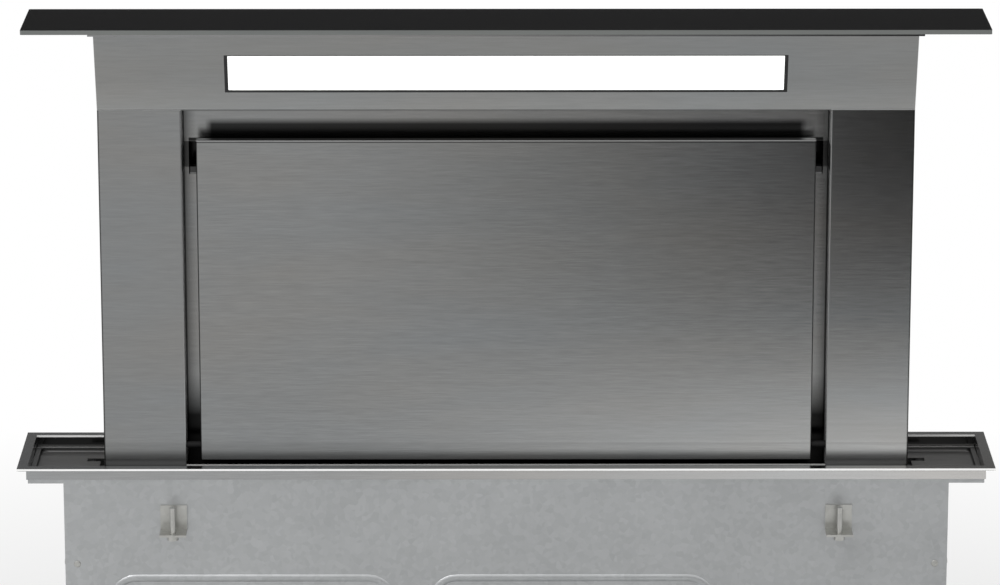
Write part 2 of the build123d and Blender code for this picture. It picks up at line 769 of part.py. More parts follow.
def touch_board():
    """The capacitive control board, bonded to the underside of the glass."""
    x = (TOUCH_X[0] + TOUCH_GAP, TOUCH_X[1] - TOUCH_GAP)
    y = (touch_y[0] + TOUCH_GAP, touch_y[1] - TOUCH_GAP)
    board = slab(x, y, (glass_bottom - TOUCH_BOARD, glass_bottom))
    middle = sum(x) / 2
    chip_x = (middle - TOUCH_CHIP, middle + TOUCH_CHIP)
    chip_y = (y[0] + TOUCH_CHIP / 2, y[1] - TOUCH_CHIP / 2)
    chip_z = (glass_bottom - 2 * TOUCH_BOARD, glass_bottom - TOUCH_BOARD)
    return board + slab(chip_x, chip_y, chip_z)


filter_y = (recess_back + INTAKE_SHEET, recess_back + INTAKE_SHEET + FILTER_THICKNESS)
filter_top = slot_z[0]
plate_z = (sill_top + SHELF_RISE + FILTER_BAR, filter_top - FILTER_REVEAL)
filter_z = (sill_top + SHELF_RISE, filter_top)


def intake_frame():
    """The recess's back sheet, with the suction slot along its top, the two filter openings
    and the shelf that the filters stand on."""
    t = INTAKE_SHEET
    y = (recess_back, recess_back + t)
    cut_y = (y[0] - 1, y[1] + 1)
    x = recess_x + FRAME_OVERLAP
    sheet = slab((-x, x), y, (sill_top, head_bottom))
    slot_x = recess_x - INTAKE_EDGE
    sheet -= slab((-slot_x, slot_x), cut_y, (plate_z[1], slot_z[1]))
    for side in (-1, 1):
        span = sorted((side * MULLION, side * (recess_x - INTAKE_BORDER)))
        sheet -= slab(tuple(span), cut_y, (plate_z[0], plate_z[1] + 1))
    shelf_y = (recess_back, filter_y[1] + FILTER_GAP + t)
    shelf = slab((-slot_x, slot_x), shelf_y, (filter_z[0] - t, filter_z[0]))
    lip_z = (filter_z[0] - t, filter_z[0] + SHELF_LIP)
    return sheet + shelf + slab((-slot_x, slot_x), (shelf_y[1] - t, shelf_y[1]), lip_z)


filter_x = (FILTER_GAP / 2, recess_x - INTAKE_EDGE - FILTER_GAP)
filter_mid = sum(filter_x) / 2
handle_y = filter_y[0] - HANDLE_STANDOFF
handle_z = filter_top - HANDLE_DROP


def filter_frame():
    """The right grease filter's aluminium frame, with the plate and lugs for its handle."""
    inner_x = (filter_x[0] + FILTER_BAR, filter_x[1] - FILTER_BAR)
    inner_z = (filter_z[0] + FILTER_BAR, filter_z[1] - FILTER_BAR)
    through = (filter_y[0] - 1, filter_y[1] + 1)
    ring = slab(filter_x, filter_y, filter_z) - slab(inner_x, through, inner_z)
    lip = (filter_y[0], filter_y[0] + INTAKE_SHEET)
    reach = LUG_SPREAD + 2 * LUG_WIDTH
    plate_x = (filter_mid - reach, filter_mid + reach)
    ring += slab(plate_x, lip, (handle_z - HANDLE_LENGTH, inner_z[1] + 1))
    for side in (-1, 1):
        x = sorted((filter_mid + side * LUG_SPREAD, filter_mid + side * (LUG_SPREAD + LUG_WIDTH)))
        lug_y = (handle_y - 2 * HANDLE_WIRE, filter_y[0])
        lug = slab(tuple(x), lug_y, (handle_z - LUG_WIDTH, handle_z + LUG_WIDTH))
        ring += fillet(lug.faces().sort_by(Axis.Y)[0].edges().filter_by(Axis.X), HANDLE_WIRE)
        ring -= rod("x", handle_y, handle_z, HANDLE_WIRE + PIVOT_CLEARANCE, x[0] - 1, x[1] + 1)
    return ring


def filter_handle():
    """The right filter's wire handle, a closed loop hanging from its lugs."""
    arm = LUG_SPREAD + LUG_WIDTH + 2 * HANDLE_WIRE
    x = (filter_mid - arm, filter_mid + arm)
    low = handle_z - HANDLE_LENGTH
    wire = rod("x", handle_y, handle_z, HANDLE_WIRE, *x) + rod("x", handle_y, low, HANDLE_WIRE, *x)
    for at in x:
        wire += rod("z", at, handle_y, HANDLE_WIRE, low, handle_z)
        for z in (low, handle_z):
            wire += Pos(at, handle_y, z) * Sphere(HANDLE_WIRE)
    return wire


def filter_core():
    """The right filter's core: a thin sheet that carries a row of upright grease slats."""
    x = (filter_x[0] + FILTER_BAR, filter_x[1] - FILTER_BAR)
    z = (filter_z[0] + FILTER_BAR, filter_z[1] - FILTER_BAR)
    back = filter_y[1] - CORE_SHEET
    core = slab(x, (back - CORE_SHEET, back), z)
    pitch = (x[1] - x[0]) / SLAT_COUNT
    for n in range(SLAT_COUNT):
        at = x[0] + (n + 0.5) * pitch
        core += slab((at - SLAT_WIDTH / 2, at + SLAT_WIDTH / 2), (back - SLAT_DEPTH, back), z)
    return core


def sill():
    """The bright lip across the recess's foot, and the upright hem under it."""
    plate = slab((-recess_x, recess_x), (column_front, recess_back), (sill_top - SILL_SHEET, sill_top))
    hem_y = (recess_back - SILL_SHEET, recess_back)
    return plate + slab((-recess_x, recess_x), hem_y, (sill_top - SILL_HEM, sill_top))


def apron():
    """The sheet that closes the column's front below the sill."""
    y = (column_front + APRON_SETBACK, column_front + APRON_SETBACK + COLUMN_SHEET)
    return slab((-recess_x, recess_x), y, (column_bottom, sill_top - SILL_SHEET))


upright_x = (column_x - COLUMN_SHEET - UPRIGHT_WIDTH, column_x - COLUMN_SHEET)
upright_y = (rail_mid - RAIL_DEPTH / 2, rail_mid + RAIL_DEPTH / 2 - COLUMN_SHEET)


def upright():
    """The right inner upright, a box section that carries the head, the shoes and the clamp."""
    w = UPRIGHT_WALL
    inside_x = (upright_x[0] + w, upright_x[1] - w)
    inside_y = (upright_y[0] + w, upright_y[1] - w)
    inside = slab(inside_x, inside_y, (column_bottom - 1, head_top + 1))
    return slab(upright_x, upright_y, (column_bottom, head_top)) - inside


def crossbar(top):
    """A bar between the uprights, with its upper edge at a height."""
    y = (upright_y[1] - CROSSBAR_DEPTH, upright_y[1])
    return slab((-upright_x[0], upright_x[0]), y, (top - CROSSBAR_HEIGHT, top))


def lift_frame():
    """The welded frame inside the column: two uprights with a bar at the head and one at the foot."""
    bars = crossbar(head_bottom - SHOE_INSET) + crossbar(column_bottom + CROSSBAR_HEIGHT)
    return upright() + mirrored(upright()) + bars


def slide_shoe(top):
    """A plastic shoe on the right pillar that runs in the guide rail."""
    c = SLIDE_CLEARANCE
    z = (top - SHOE_LENGTH, top)
    head_x = (rail_x[0] + RAIL_WALL + c, rail_x[1] - RAIL_WALL - c)
    stem = slab((column_x, head_x[0]), (mouth[0] + c, mouth[1] - c), z)
    return stem + slab(head_x, (rail_y[0] + RAIL_WALL + c, rail_y[1] - RAIL_WALL - c), z)


def belt_clamp():
    """The right clamp, whose jaws hold the belt's rear run to the column."""
    run = (drive_y + belt_inner - BELT_CLEARANCE, drive_y + belt_outer + BELT_CLEARANCE)
    z = (-JAW_DROP - JAW_HEIGHT, -JAW_DROP)
    end = belt_x[1] + FLANGE_SHEET
    block = slab((column_x, end), (run[0] - JAW_WALL, run[1] + JAW_WALL), z)
    return block - slab((belt_x[0] - BELT_CLEARANCE, end + 1), run, (z[0] - 1, z[1] + 1))


# ---------------------------------------------------------------- front panel
def front_panel():
    """The tilting panel: a folded steel pan, hemmed all round its open back."""
    t = PANEL_SHEET
    pan = slab((-panel_x, panel_x), panel_y, panel_z)
    pan = fillet(pan.faces().sort_by(Axis.Y)[0].edges(), PANEL_EDGE)
    hollow_z = (panel_z[0] + t, panel_z[1] - t)
    pan -= slab((t - panel_x, panel_x - t), (panel_y[0] + t, panel_y[1] - t), hollow_z)
    h = PANEL_HEM
    back_z = (panel_z[0] + h, panel_z[1] - h)
    pan -= slab((h - panel_x, panel_x - h), (panel_y[1] - t - 1, panel_y[1] + 1), back_z)
    return pan - rod("x", pivot_y, pivot_z, PIVOT_RADIUS, -panel_x - 1, panel_x + 1)


def panel_pivot():
    """The right pivot: a block inside the pan and the pin that turns in the pillar's wall."""
    t = PANEL_SHEET
    block_x = (panel_x - t - PIVOT_BLOCK, panel_x - t)
    block_z = (panel_z[0] + t, panel_z[0] + 2 * PIVOT_HEIGHT - t)
    block = slab(block_x, (panel_y[0] + t, panel_y[1] - t), block_z)
    end = recess_x + COLUMN_SHEET + PIVOT_RADIUS
    return block + rod("x", pivot_y, pivot_z, PIVOT_RADIUS, block_x[1] - 1, end)


def magnet_catch():
    """The right magnetic catch, on the recess's back sheet behind the panel's hem."""
    x = (panel_x - PANEL_HEM, panel_x - 1)
    high = head_bottom - MAGNET_DROP
    return slab(x, (panel_y[1] + MAGNET_GAP, recess_back), (high - MAGNET_LENGTH, high))


# ---------------------------------------------------------------- blower
def edge_points(x, z, across, up):
    """Screw places round a lid, evenly spaced along each side."""
    level = [x[0] + (x[1] - x[0]) * n / across for n in range(across + 1)]
    height = [z[0] + (z[1] - z[0]) * n / up for n in range(1, up)]
    return [(a, b) for a in level for b in z] + [(a, b) for a in x for b in height]


def drilled(shape, points, radius, y):
    """The shape with a hole along Y at each point."""
    for a, b in points:
        shape -= rod("y", a, b, radius, y[0] - 1, y[1] + 1)
    return shape


def lidded_box(x, y, z, sheet, points):
    """A box open to the front, with an inward flange drilled for its lid's screws."""
    hollow = slab((x[0] + sheet, x[1] - sheet), (y[0] - 1, y[1] - sheet), (z[0] + sheet, z[1] - sheet))
    flange_y = (y[0], y[0] + sheet)
    lip = LID_FLANGE
    mouth_x, mouth_z = (x[0] + lip, x[1] - lip), (z[0] + lip, z[1] - lip)
    flange = slab(x, flange_y, z) - slab(mouth_x, (y[0] - 1, y[0] + sheet + 1), mouth_z)
    return slab(x, y, z) - hollow + drilled(flange, points, SCREW_RADIUS, flange_y)


def lid(x, front, z, points):
    """A flat lid in front of a box, drilled for its screws."""
    y = (front - LID_SHEET, front)
    return drilled(slab(x, y, z), points, SCREW_RADIUS, y)


def screws(points, face):
    """Pan-head screws along Y, with their heads on a face that looks forward."""
    made = []
    for a, b in points:
        head = rod("y", a, b, SCREW_HEAD, face - SCREW_CROWN, face)
        head = fillet(head.faces().sort_by(Axis.Y)[0].edges(), SCREW_CROWN / 2)
        slot_y = (face - SCREW_CROWN - 1, face - SCREW_CROWN + SCREW_SLOT)
        slot = slab((a - SCREW_HEAD, a + SCREW_HEAD), slot_y, (b - SCREW_SLOT / 2, b + SCREW_SLOT / 2))
        made.append(head - slot + rod("y", a, b, SCREW_RADIUS, face, face + SCREW_LENGTH))
    return made


def lid_points(x, z, across, up):
    """Screw places on the middle of a box's lid flange."""
    inset = LID_FLANGE / 2
    return edge_points((x[0] + inset, x[1] - inset), (z[0] + inset, z[1] - inset), across, up)


blower_screws = lid_points(blower_x, blower_z, 3, 2)


def blower_box():
    """The sheet box round the blower, open behind to the housing and on the left to the duct."""
    y = (blower_front, blower_back)
    box = lidded_box(blower_x, y, blower_z, BLOWER_SHEET, blower_screws)
    box -= slab(intake_x, (blower_back - BLOWER_SHEET - 1, blower_back + 1), intake_z)
    return box - rod("x", duct_y, duct_z, bore_radius, blower_x[0] - 1, blower_x[0] + BLOWER_SHEET + 1)


def on_scroll(turn, extra):
    """The (X, Z) point on the scroll at an angle in degrees, a distance outside its inner face."""
    radius = VOLUTE_START + extra + VOLUTE_GROWTH * (TONGUE_TURN - turn) / SCROLL_SWEEP
    angle = turn * pi / 180
    return wheel_x + radius * cos(angle), wheel_z + radius * sin(angle)


def scroll(extra, y, left):
    """The volute's space, grown by a wall thickness, between two depths."""
    points = []
    for n in range(SPIRAL_STEPS + 1):
        a, b = on_scroll(TONGUE_TURN - SCROLL_SWEEP * n / SPIRAL_STEPS, extra)
        points.append((a, y[0], b))
    centre = (wheel_x, y[0], wheel_z)
    outline = Spline(*points) + Line(points[-1], centre) + Line(centre, points[0])
    space = extrude(make_face(outline), amount=y[1] - y[0], dir=AXES["y"])
    space += rod("y", wheel_x, wheel_z, VOLUTE_START + extra, *y)
    duct = slab((left, wheel_x), y, (wheel_z - scroll_end - extra, wheel_z - tongue_drop + extra))
    return space + duct


def volute_half(y, outer_face):
    """Half of the volute: a scroll wall and the plate at its outer face."""
    w = VOLUTE_WALL
    left = blower_x[0] + BLOWER_SHEET
    inside = (y[0] + w, y[1] + 1) if outer_face == y[0] else (y[0] - 1, y[1] - w)
    return scroll(w, y, left) - scroll(0, inside, left - 10)


def volute_front():
    """The front half of the volute, with a hole for the motor's nose."""
    half = volute_half((volute_y[0], split_y), volute_y[0])
    hole_y = (volute_y[0] - 1, volute_y[0] + VOLUTE_WALL + 1)
    return half - rod("y", wheel_x, wheel_z, HUB_RADIUS + WHEEL_GAP, *hole_y)


def volute_back():
    """The back half of the volute, with the round inlet, its lip and the posts that carry it."""
    half = volute_half((split_y, volute_y[1]), volute_y[1])
    half -= rod("y", wheel_x, wheel_z, INLET_RADIUS, volute_y[1] - VOLUTE_WALL - 1, volute_y[1] + 1)
    lip_y = (volute_y[1], volute_y[1] + INLET_LIP)
    half += tube("y", wheel_x, wheel_z, INLET_RADIUS + VOLUTE_WALL, INLET_RADIUS, *lip_y)
    for turn in POST_TURNS:
        x, z = on_scroll(turn, -2 * POST_RADIUS)
        half += rod("y", x, z, POST_RADIUS, volute_y[1], blower_back - BLOWER_SHEET)
    return half


def blower_motor():
    """The blower's motor on the front of the volute."""
    y = volute_y[0]
    can = rod("y", wheel_x, wheel_z, MOTOR_CAN, y - MOTOR_DEPTH, y)
    can = fillet(can.faces().sort_by(Axis.Y)[0].edges(), MOTOR_ROUND)
    motor = can + rod("y", wheel_x, wheel_z, MOTOR_FLANGE, y - FLANGE_DEPTH, y)
    return motor - rod("y", wheel_x, wheel_z, MOTOR_SHAFT + SHAFT_CLEARANCE, y - MOTOR_DEPTH / 2, y + 1)


def impeller():
    """The blower's wheel on its shaft: a disc and hub, forward-curved blades and a ring."""
    disc = (wheel_y[0], wheel_y[0] + DISC_THICKNESS)
    ring = (wheel_y[1] - DISC_THICKNESS, wheel_y[1])
    wheel = rod("y", wheel_x, wheel_z, IMPELLER_RADIUS, *disc)
    wheel += rod("y", wheel_x, wheel_z, HUB_RADIUS, wheel_y[0], wheel_y[0] + HUB_LENGTH)
    inner = IMPELLER_RADIUS - BLADE_DEPTH
    middle = inner + BLADE_DEPTH / 2
    near = [(inner + 1, 0.0), (middle, BLADE_LEAN / 4), (IMPELLER_RADIUS - 1, BLADE_LEAN)]
    outline = near + [(a, b + BLADE_THICKNESS) for a, b in reversed(near)]
    for n in range(BLADE_COUNT):
        turn = 2 * pi * n / BLADE_COUNT
        c, s = cos(turn), sin(turn)
        turned = [(wheel_x + a * c - b * s, wheel_z + a * s + b * c) for a, b in outline]
        wheel += prism(turned, "y", disc[0] + 1, ring[1] - 1)
    wheel += tube("y", wheel_x, wheel_z, IMPELLER_RADIUS, inner, *ring)
    end = volute_y[0] - MOTOR_DEPTH / 2 + 1
    return wheel + rod("y", wheel_x, wheel_z, MOTOR_SHAFT, end, wheel_y[0] + HUB_LENGTH + 1)


def outlet_collar():
    """The round outlet on the left: flange, pipe, the ring the flaps close on and their pin."""
    side = DUCT_RADIUS + DUCT_MARGIN - DUCT_WALL
    flange_y = (duct_y - side, duct_y + side)
    flange = slab((blower_x[0] - DUCT_WALL, blower_x[0]), flange_y, (duct_z - side, duct_z + side))
    end = blower_x[0] - DUCT_LENGTH
    pipe = rod("x", duct_y, duct_z, DUCT_RADIUS, end, blower_x[0])
    collar = flange + pipe - rod("x", duct_y, duct_z, bore_radius, end - 1, blower_x[0] + 1)
    stop = flap_x + FLAP_SHEET / 2 + BELT_CLEARANCE
    stop_radius = bore_radius - STOP_WIDTH
    ring_x = (stop, stop + FLAP_SHEET)
    collar += tube("x", duct_y, duct_z, bore_radius + DUCT_WALL / 2, stop_radius, *ring_x)
    pin_z = (duct_z - DUCT_RADIUS + 1, duct_z + DUCT_RADIUS - 1)
    return collar + rod("z", flap_x, duct_y, FLAP_PIN, *pin_z)


def flap(side, knuckles):
    """One flap: half a disc with its knuckles on the pin; side is -1 in front, 1 behind."""
    plate_x = (flap_x - FLAP_SHEET / 2, flap_x + FLAP_SHEET / 2)
    duct = (duct_z - DUCT_RADIUS, duct_z + DUCT_RADIUS)
    disc = rod("x", duct_y, duct_z, bore_radius - FLAP_GAP, *plate_x)
    start = FLAP_KNUCKLE + SLIDE_CLEARANCE
    y = tuple(sorted((duct_y + side * start, duct_y + side * DUCT_RADIUS)))
    half = disc & slab((plate_x[0] - 1, plate_x[1] + 1), y, duct)
    web_y = tuple(sorted((duct_y + side * FLAP_PIN, duct_y + side * (start + 1))))
    for first in knuckles:
        low = duct_z + first * KNUCKLE_LENGTH
        z = (low + BELT_CLEARANCE, low + KNUCKLE_LENGTH - BELT_CLEARANCE)
        half += slab(plate_x, web_y, z) + rod("z", flap_x, duct_y, FLAP_KNUCKLE, *z)
    return half - rod("z", flap_x, duct_y, FLAP_PIN + SHAFT_CLEARANCE, *duct)


# ---------------------------------------------------------------- control box
control_right = housing_x - CONTROL_INSET
control_x = (control_right - CONTROL_WIDTH, control_right)
control_z = (-CONTROL_DROP - CONTROL_HEIGHT, -CONTROL_DROP)
control_y = (blower_back - CONTROL_DEPTH, blower_back)
control_screws = lid_points(control_x, control_z, 1, 1)
gland_y = sum(control_y) / 2
gland_places = (control_x[0] + GLAND_INSET, control_x[1] - GLAND_INSET)


def control_box():
    """The plastic box on the front sheet that holds the control board."""
    box = lidded_box(control_x, control_y, control_z, CONTROL_WALL, control_screws)
    for x in gland_places:
        box -= rod("z", x, gland_y, GLAND_BORE, control_z[0] - 1, control_z[0] + CONTROL_WALL + 1)
    return box


def control_board():
    """The control board on its four standoffs, with its transformer, relays and terminals."""
    back = control_y[1] - CONTROL_WALL
    x = (control_x[0] + BOARD_INSET, control_x[1] - BOARD_INSET)
    z = (control_z[0] + BOARD_INSET, control_z[1] - BOARD_INSET)
    face = back - BOARD_STANDOFF - BOARD_SHEET
    board = slab(x, (face, face + BOARD_SHEET), z)
    for a in (x[0] + 2 * POST_RADIUS, x[1] - 2 * POST_RADIUS):
        for b in (z[0] + POST_RADIUS, z[1] - POST_RADIUS):
            board += rod("y", a, b, POST_RADIUS / 2, face + BOARD_SHEET / 2, back)
    left, top = x[0] + 2 * POST_RADIUS, z[1] - 2 * POST_RADIUS
    coil_y = (face - TRANSFORMER_HEIGHT, face)
    board += slab((left, left + TRANSFORMER), coil_y, (top - TRANSFORMER, top))
    for n in range(RELAY_COUNT):
        low = z[0] + 2 * POST_RADIUS + n * RELAY_PITCH
        relay_x = (x[1] - 2 * POST_RADIUS - RELAY_WIDTH, x[1] - 2 * POST_RADIUS)
        board += slab(relay_x, (face - RELAY_WIDTH, face), (low, low + RELAY_HEIGHT))
    terminal_z = (z[0] + 2 * POST_RADIUS, z[0] + 2 * POST_RADIUS + RELAY_HEIGHT)
    return board + slab((left, left + TERMINAL_LENGTH), (face - RELAY_HEIGHT, face), terminal_z)


def cable_gland(x):
    """A gland under the control box, with its sealing nut."""
    top = control_z[0]
    body = rod("z", x, gland_y, GLAND_RADIUS, top - GLAND_LENGTH, top)
    body = chamfer(body.faces().sort_by(Axis.Z)[0].edges(), GLAND_RADIUS / 3)
    nut = Pos(x, gland_y, top - NUT_HEIGHT) * extrude(RegularPolygon(NUT_RADIUS, 6), amount=NUT_HEIGHT)
    return body + nut - rod("z", x, gland_y, GLAND_BORE, top - GLAND_LENGTH - 1, top + 1)


# ---------------------------------------------------------------- write every sub-part
os.makedirs("parts", exist_ok=True)

right_tray = end_tray()
right_side = housing_side()
right_pillar = pillar()
right_filter = filter_frame()
right_core = filter_core()
right_handle = filter_handle()
shoe_tops = (rail_top - 2 * SHOE_INSET, column_bottom + SHOE_INSET + SHOE_LENGTH)

PARTS = {
    "trim_frame": [trim_frame()],
    "trim_seal": [trim_seal()],
    "end_tray_right": [right_tray],
    "end_tray_left": [mirrored(right_tray)],
    "housing_side_right": [right_side],
    "housing_side_left": [mirrored(right_side)],
    "housing_front": [housing_front()],
    "housing_back": [housing_back()],
    "floor_brackets": both(floor_bracket()),
    "worktop_clamps": worktop_clamps(),
    "column_wipers": both(column_wiper()),
    "guide_rails": both(guide_rail()),
    "lift_belts": both(lift_belt()),
    "idler_brackets": both(idler_bracket()),
    "shaft_bearings": both(shaft_bearing()),
    "drive_shaft": [drive_shaft()],
    "drive_pulleys": both(pulley(drive_z, SHAFT_RADIUS)),
    "idler_pulley_right": [pulley(idler_z, IDLER_PIN + SHAFT_CLEARANCE)],
    "idler_pulley_left": [mirrored(pulley(idler_z, IDLER_PIN + SHAFT_CLEARANCE))],
    "lift_gearbox": [lift_gearbox()],
    "lift_motor": [lift_motor()],
    "gearmotor_bracket": [gearmotor_bracket()],
    "pillar_right": [right_pillar],
    "pillar_left": [mirrored(right_pillar)],
    "back_panel": [back_panel()],
    "head_shell": [head_shell()],
    "light_tray": [light_tray()],
    "light_diffuser": [light_diffuser()],
    "led_board": [led_board()],
    "glass_top": [glass_top()],
    "glass_carrier": [glass_carrier()],
    "touch_board": [touch_board()],
    "intake_frame": [intake_frame()],
    "filter_frame_right": [right_filter],
    "filter_frame_left": [mirrored(right_filter)],
    "filter_cores": both(right_core),
    "filter_handle_right": [right_handle],
    "filter_handle_left": [mirrored(right_handle)],
    "sill": [sill()],
    "apron": [apron()],
    "lift_frame": [lift_frame()],
    "slide_shoes": [shoe for top in shoe_tops for shoe in both(slide_shoe(top))],
    "belt_clamps": both(belt_clamp()),
    "front_panel": [front_panel()],
    "panel_pivots": both(panel_pivot()),
    "magnet_catches": both(magnet_catch()),
    "blower_box": [blower_box()],
    "blower_lid": [lid(blower_x, blower_front, blower_z, blower_screws)],
    "volute_front": [volute_front()],
    "volute_back": [volute_back()],
    "blower_motor": [blower_motor()],
    "impeller": [impeller()],
    "outlet_collar": [outlet_collar()],
    "flap_front": [flap(-1, (-2, 0))],
    "flap_rear": [flap(1, (-1, 1))],
    "control_box": [control_box()],
    "control_lid": [lid(control_x, control_y[0], control_z, control_screws)],
    "control_board": [control_board()],
    "cable_glands": [cable_gland(x) for x in gland_places],
    "lid_screws": screws(blower_screws, blower_front - LID_SHEET)
    + screws(control_screws, control_y[0] - LID_SHEET),
}

for node, solids in PARTS.items():
    save(node, *solids)
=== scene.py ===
"""Looks of the downdraft vent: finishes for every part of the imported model, the small pieces that
the solids leave out, and a plain studio with the camera at the photograph's viewing angle.

Frame: X is the width (+X right), Y the depth (-Y towards the cook), +Z up, in metres. The origin is
the middle of the worktop cut-out, on the worktop's surface.
"""

import json
from math import cos, radians, sin

import bmesh
import bpy
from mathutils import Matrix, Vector


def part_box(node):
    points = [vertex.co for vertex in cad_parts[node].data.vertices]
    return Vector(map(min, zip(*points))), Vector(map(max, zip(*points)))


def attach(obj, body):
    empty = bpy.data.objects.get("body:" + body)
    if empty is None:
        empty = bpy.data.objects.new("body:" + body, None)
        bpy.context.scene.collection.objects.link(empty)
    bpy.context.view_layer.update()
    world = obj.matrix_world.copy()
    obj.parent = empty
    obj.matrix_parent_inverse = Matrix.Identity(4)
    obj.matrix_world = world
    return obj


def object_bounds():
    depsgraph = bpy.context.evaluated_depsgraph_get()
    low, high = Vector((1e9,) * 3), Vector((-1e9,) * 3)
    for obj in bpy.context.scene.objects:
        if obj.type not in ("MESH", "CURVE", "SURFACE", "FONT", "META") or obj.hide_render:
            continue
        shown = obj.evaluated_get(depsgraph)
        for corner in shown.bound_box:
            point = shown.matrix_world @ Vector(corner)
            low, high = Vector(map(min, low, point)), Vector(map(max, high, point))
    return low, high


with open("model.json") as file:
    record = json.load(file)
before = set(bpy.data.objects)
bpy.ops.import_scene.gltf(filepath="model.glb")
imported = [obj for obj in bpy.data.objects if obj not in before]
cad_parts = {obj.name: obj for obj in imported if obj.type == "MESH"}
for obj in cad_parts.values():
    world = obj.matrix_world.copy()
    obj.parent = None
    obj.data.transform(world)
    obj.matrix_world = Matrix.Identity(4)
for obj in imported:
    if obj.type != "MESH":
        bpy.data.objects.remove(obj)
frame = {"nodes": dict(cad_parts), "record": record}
cad_box = [list(corner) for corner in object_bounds()]

MM = 0.001

# ---------------------------------------------------------------- measures of the solids
trim_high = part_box("trim_frame")[1]
head_low, head_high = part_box("head_shell")
pillar_low, pillar_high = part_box("pillar_right")
panel_low, panel_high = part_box("front_panel")

RIM_EDGE = 0.6 * MM  # height above the worktop where the trim's edge begins, with a painted highlight above it and painted shade on the inner walls below it
RIM_WIDTH = 9.0 * MM
OPEN_X = trim_high.x - RIM_WIDTH
OPEN_Y = trim_high.y - RIM_WIDTH
TRAY_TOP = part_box("end_tray_right")[1].z
TRAY_LIP = 43.5 * MM  # distance of the trays' painted edge highlights from the middle, front and back
PILLAR_OUT = pillar_high.x
RECESS_HALF = pillar_low.x
PANEL_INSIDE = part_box("back_panel")[0].y
FILTER_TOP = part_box("filter_frame_left")[1].z
HEAD_FOOT = head_low.z
SLOT_TOP = HEAD_FOOT - 34.0 * MM
SLOT_FOOT = SLOT_TOP - 24.0 * MM
SLOT_HALF = RECESS_HALF - 5.0 * MM
PANEL_SHADE_TOP = SLOT_TOP + 21.5 * MM  # where the painted shade over the suction slot ends
PANEL_SHADE_HALF = 270.0 * MM  # half its width
FOOT_SHADE_TOP = 72.0 * MM  # where the painted shade at the foot of the column ends
PANEL_HALF = panel_high.x
PANEL_TOP = panel_high.z
PANEL_FRONT = panel_low.y

# ---------------------------------------------------------------- camera
# Place in metres, angles in degrees, lens and sensor in millimetres.
CAMERA_PLACE = (-0.01287, -4.33273, 1.32052)
CAMERA_PITCH = 15.103
CAMERA_YAW = 0.1035
CAMERA_ROLL = 0.0177
CAMERA_LENS = 179.12
SENSOR_WIDTH = 36.0
CAMERA_REACH = 60.0

camera_data = bpy.data.cameras.new("camera")
camera_data.lens = CAMERA_LENS
camera_data.sensor_width = SENSOR_WIDTH
camera_data.sensor_fit = "HORIZONTAL"
camera_data.clip_end = CAMERA_REACH
camera = bpy.data.objects.new("camera", camera_data)
camera.location = CAMERA_PLACE
camera.rotation_euler = (radians(90.0 - CAMERA_PITCH), radians(CAMERA_ROLL), radians(-CAMERA_YAW))
bpy.context.scene.collection.objects.link(camera)
bpy.context.scene.camera = camera
bpy.context.scene.view_settings.view_transform = "Standard"


# ---------------------------------------------------------------- finishes
# Sockets of the Mix node, for colours and for plain values.
COLOR_A, COLOR_B, COLOR_OUT = 6, 7, 2
VALUE_A, VALUE_B, VALUE_OUT = 2, 3, 0
FADE = 0.3 * MM  # width of a mask's border


def times(tree, a, b):
    """The product of two values of a node tree."""
    product = tree.nodes.new("ShaderNodeMath")
    product.operation = "MULTIPLY"
    tree.links.new(a, product.inputs[0])
    tree.links.new(b, product.inputs[1])
    return product.outputs[0]


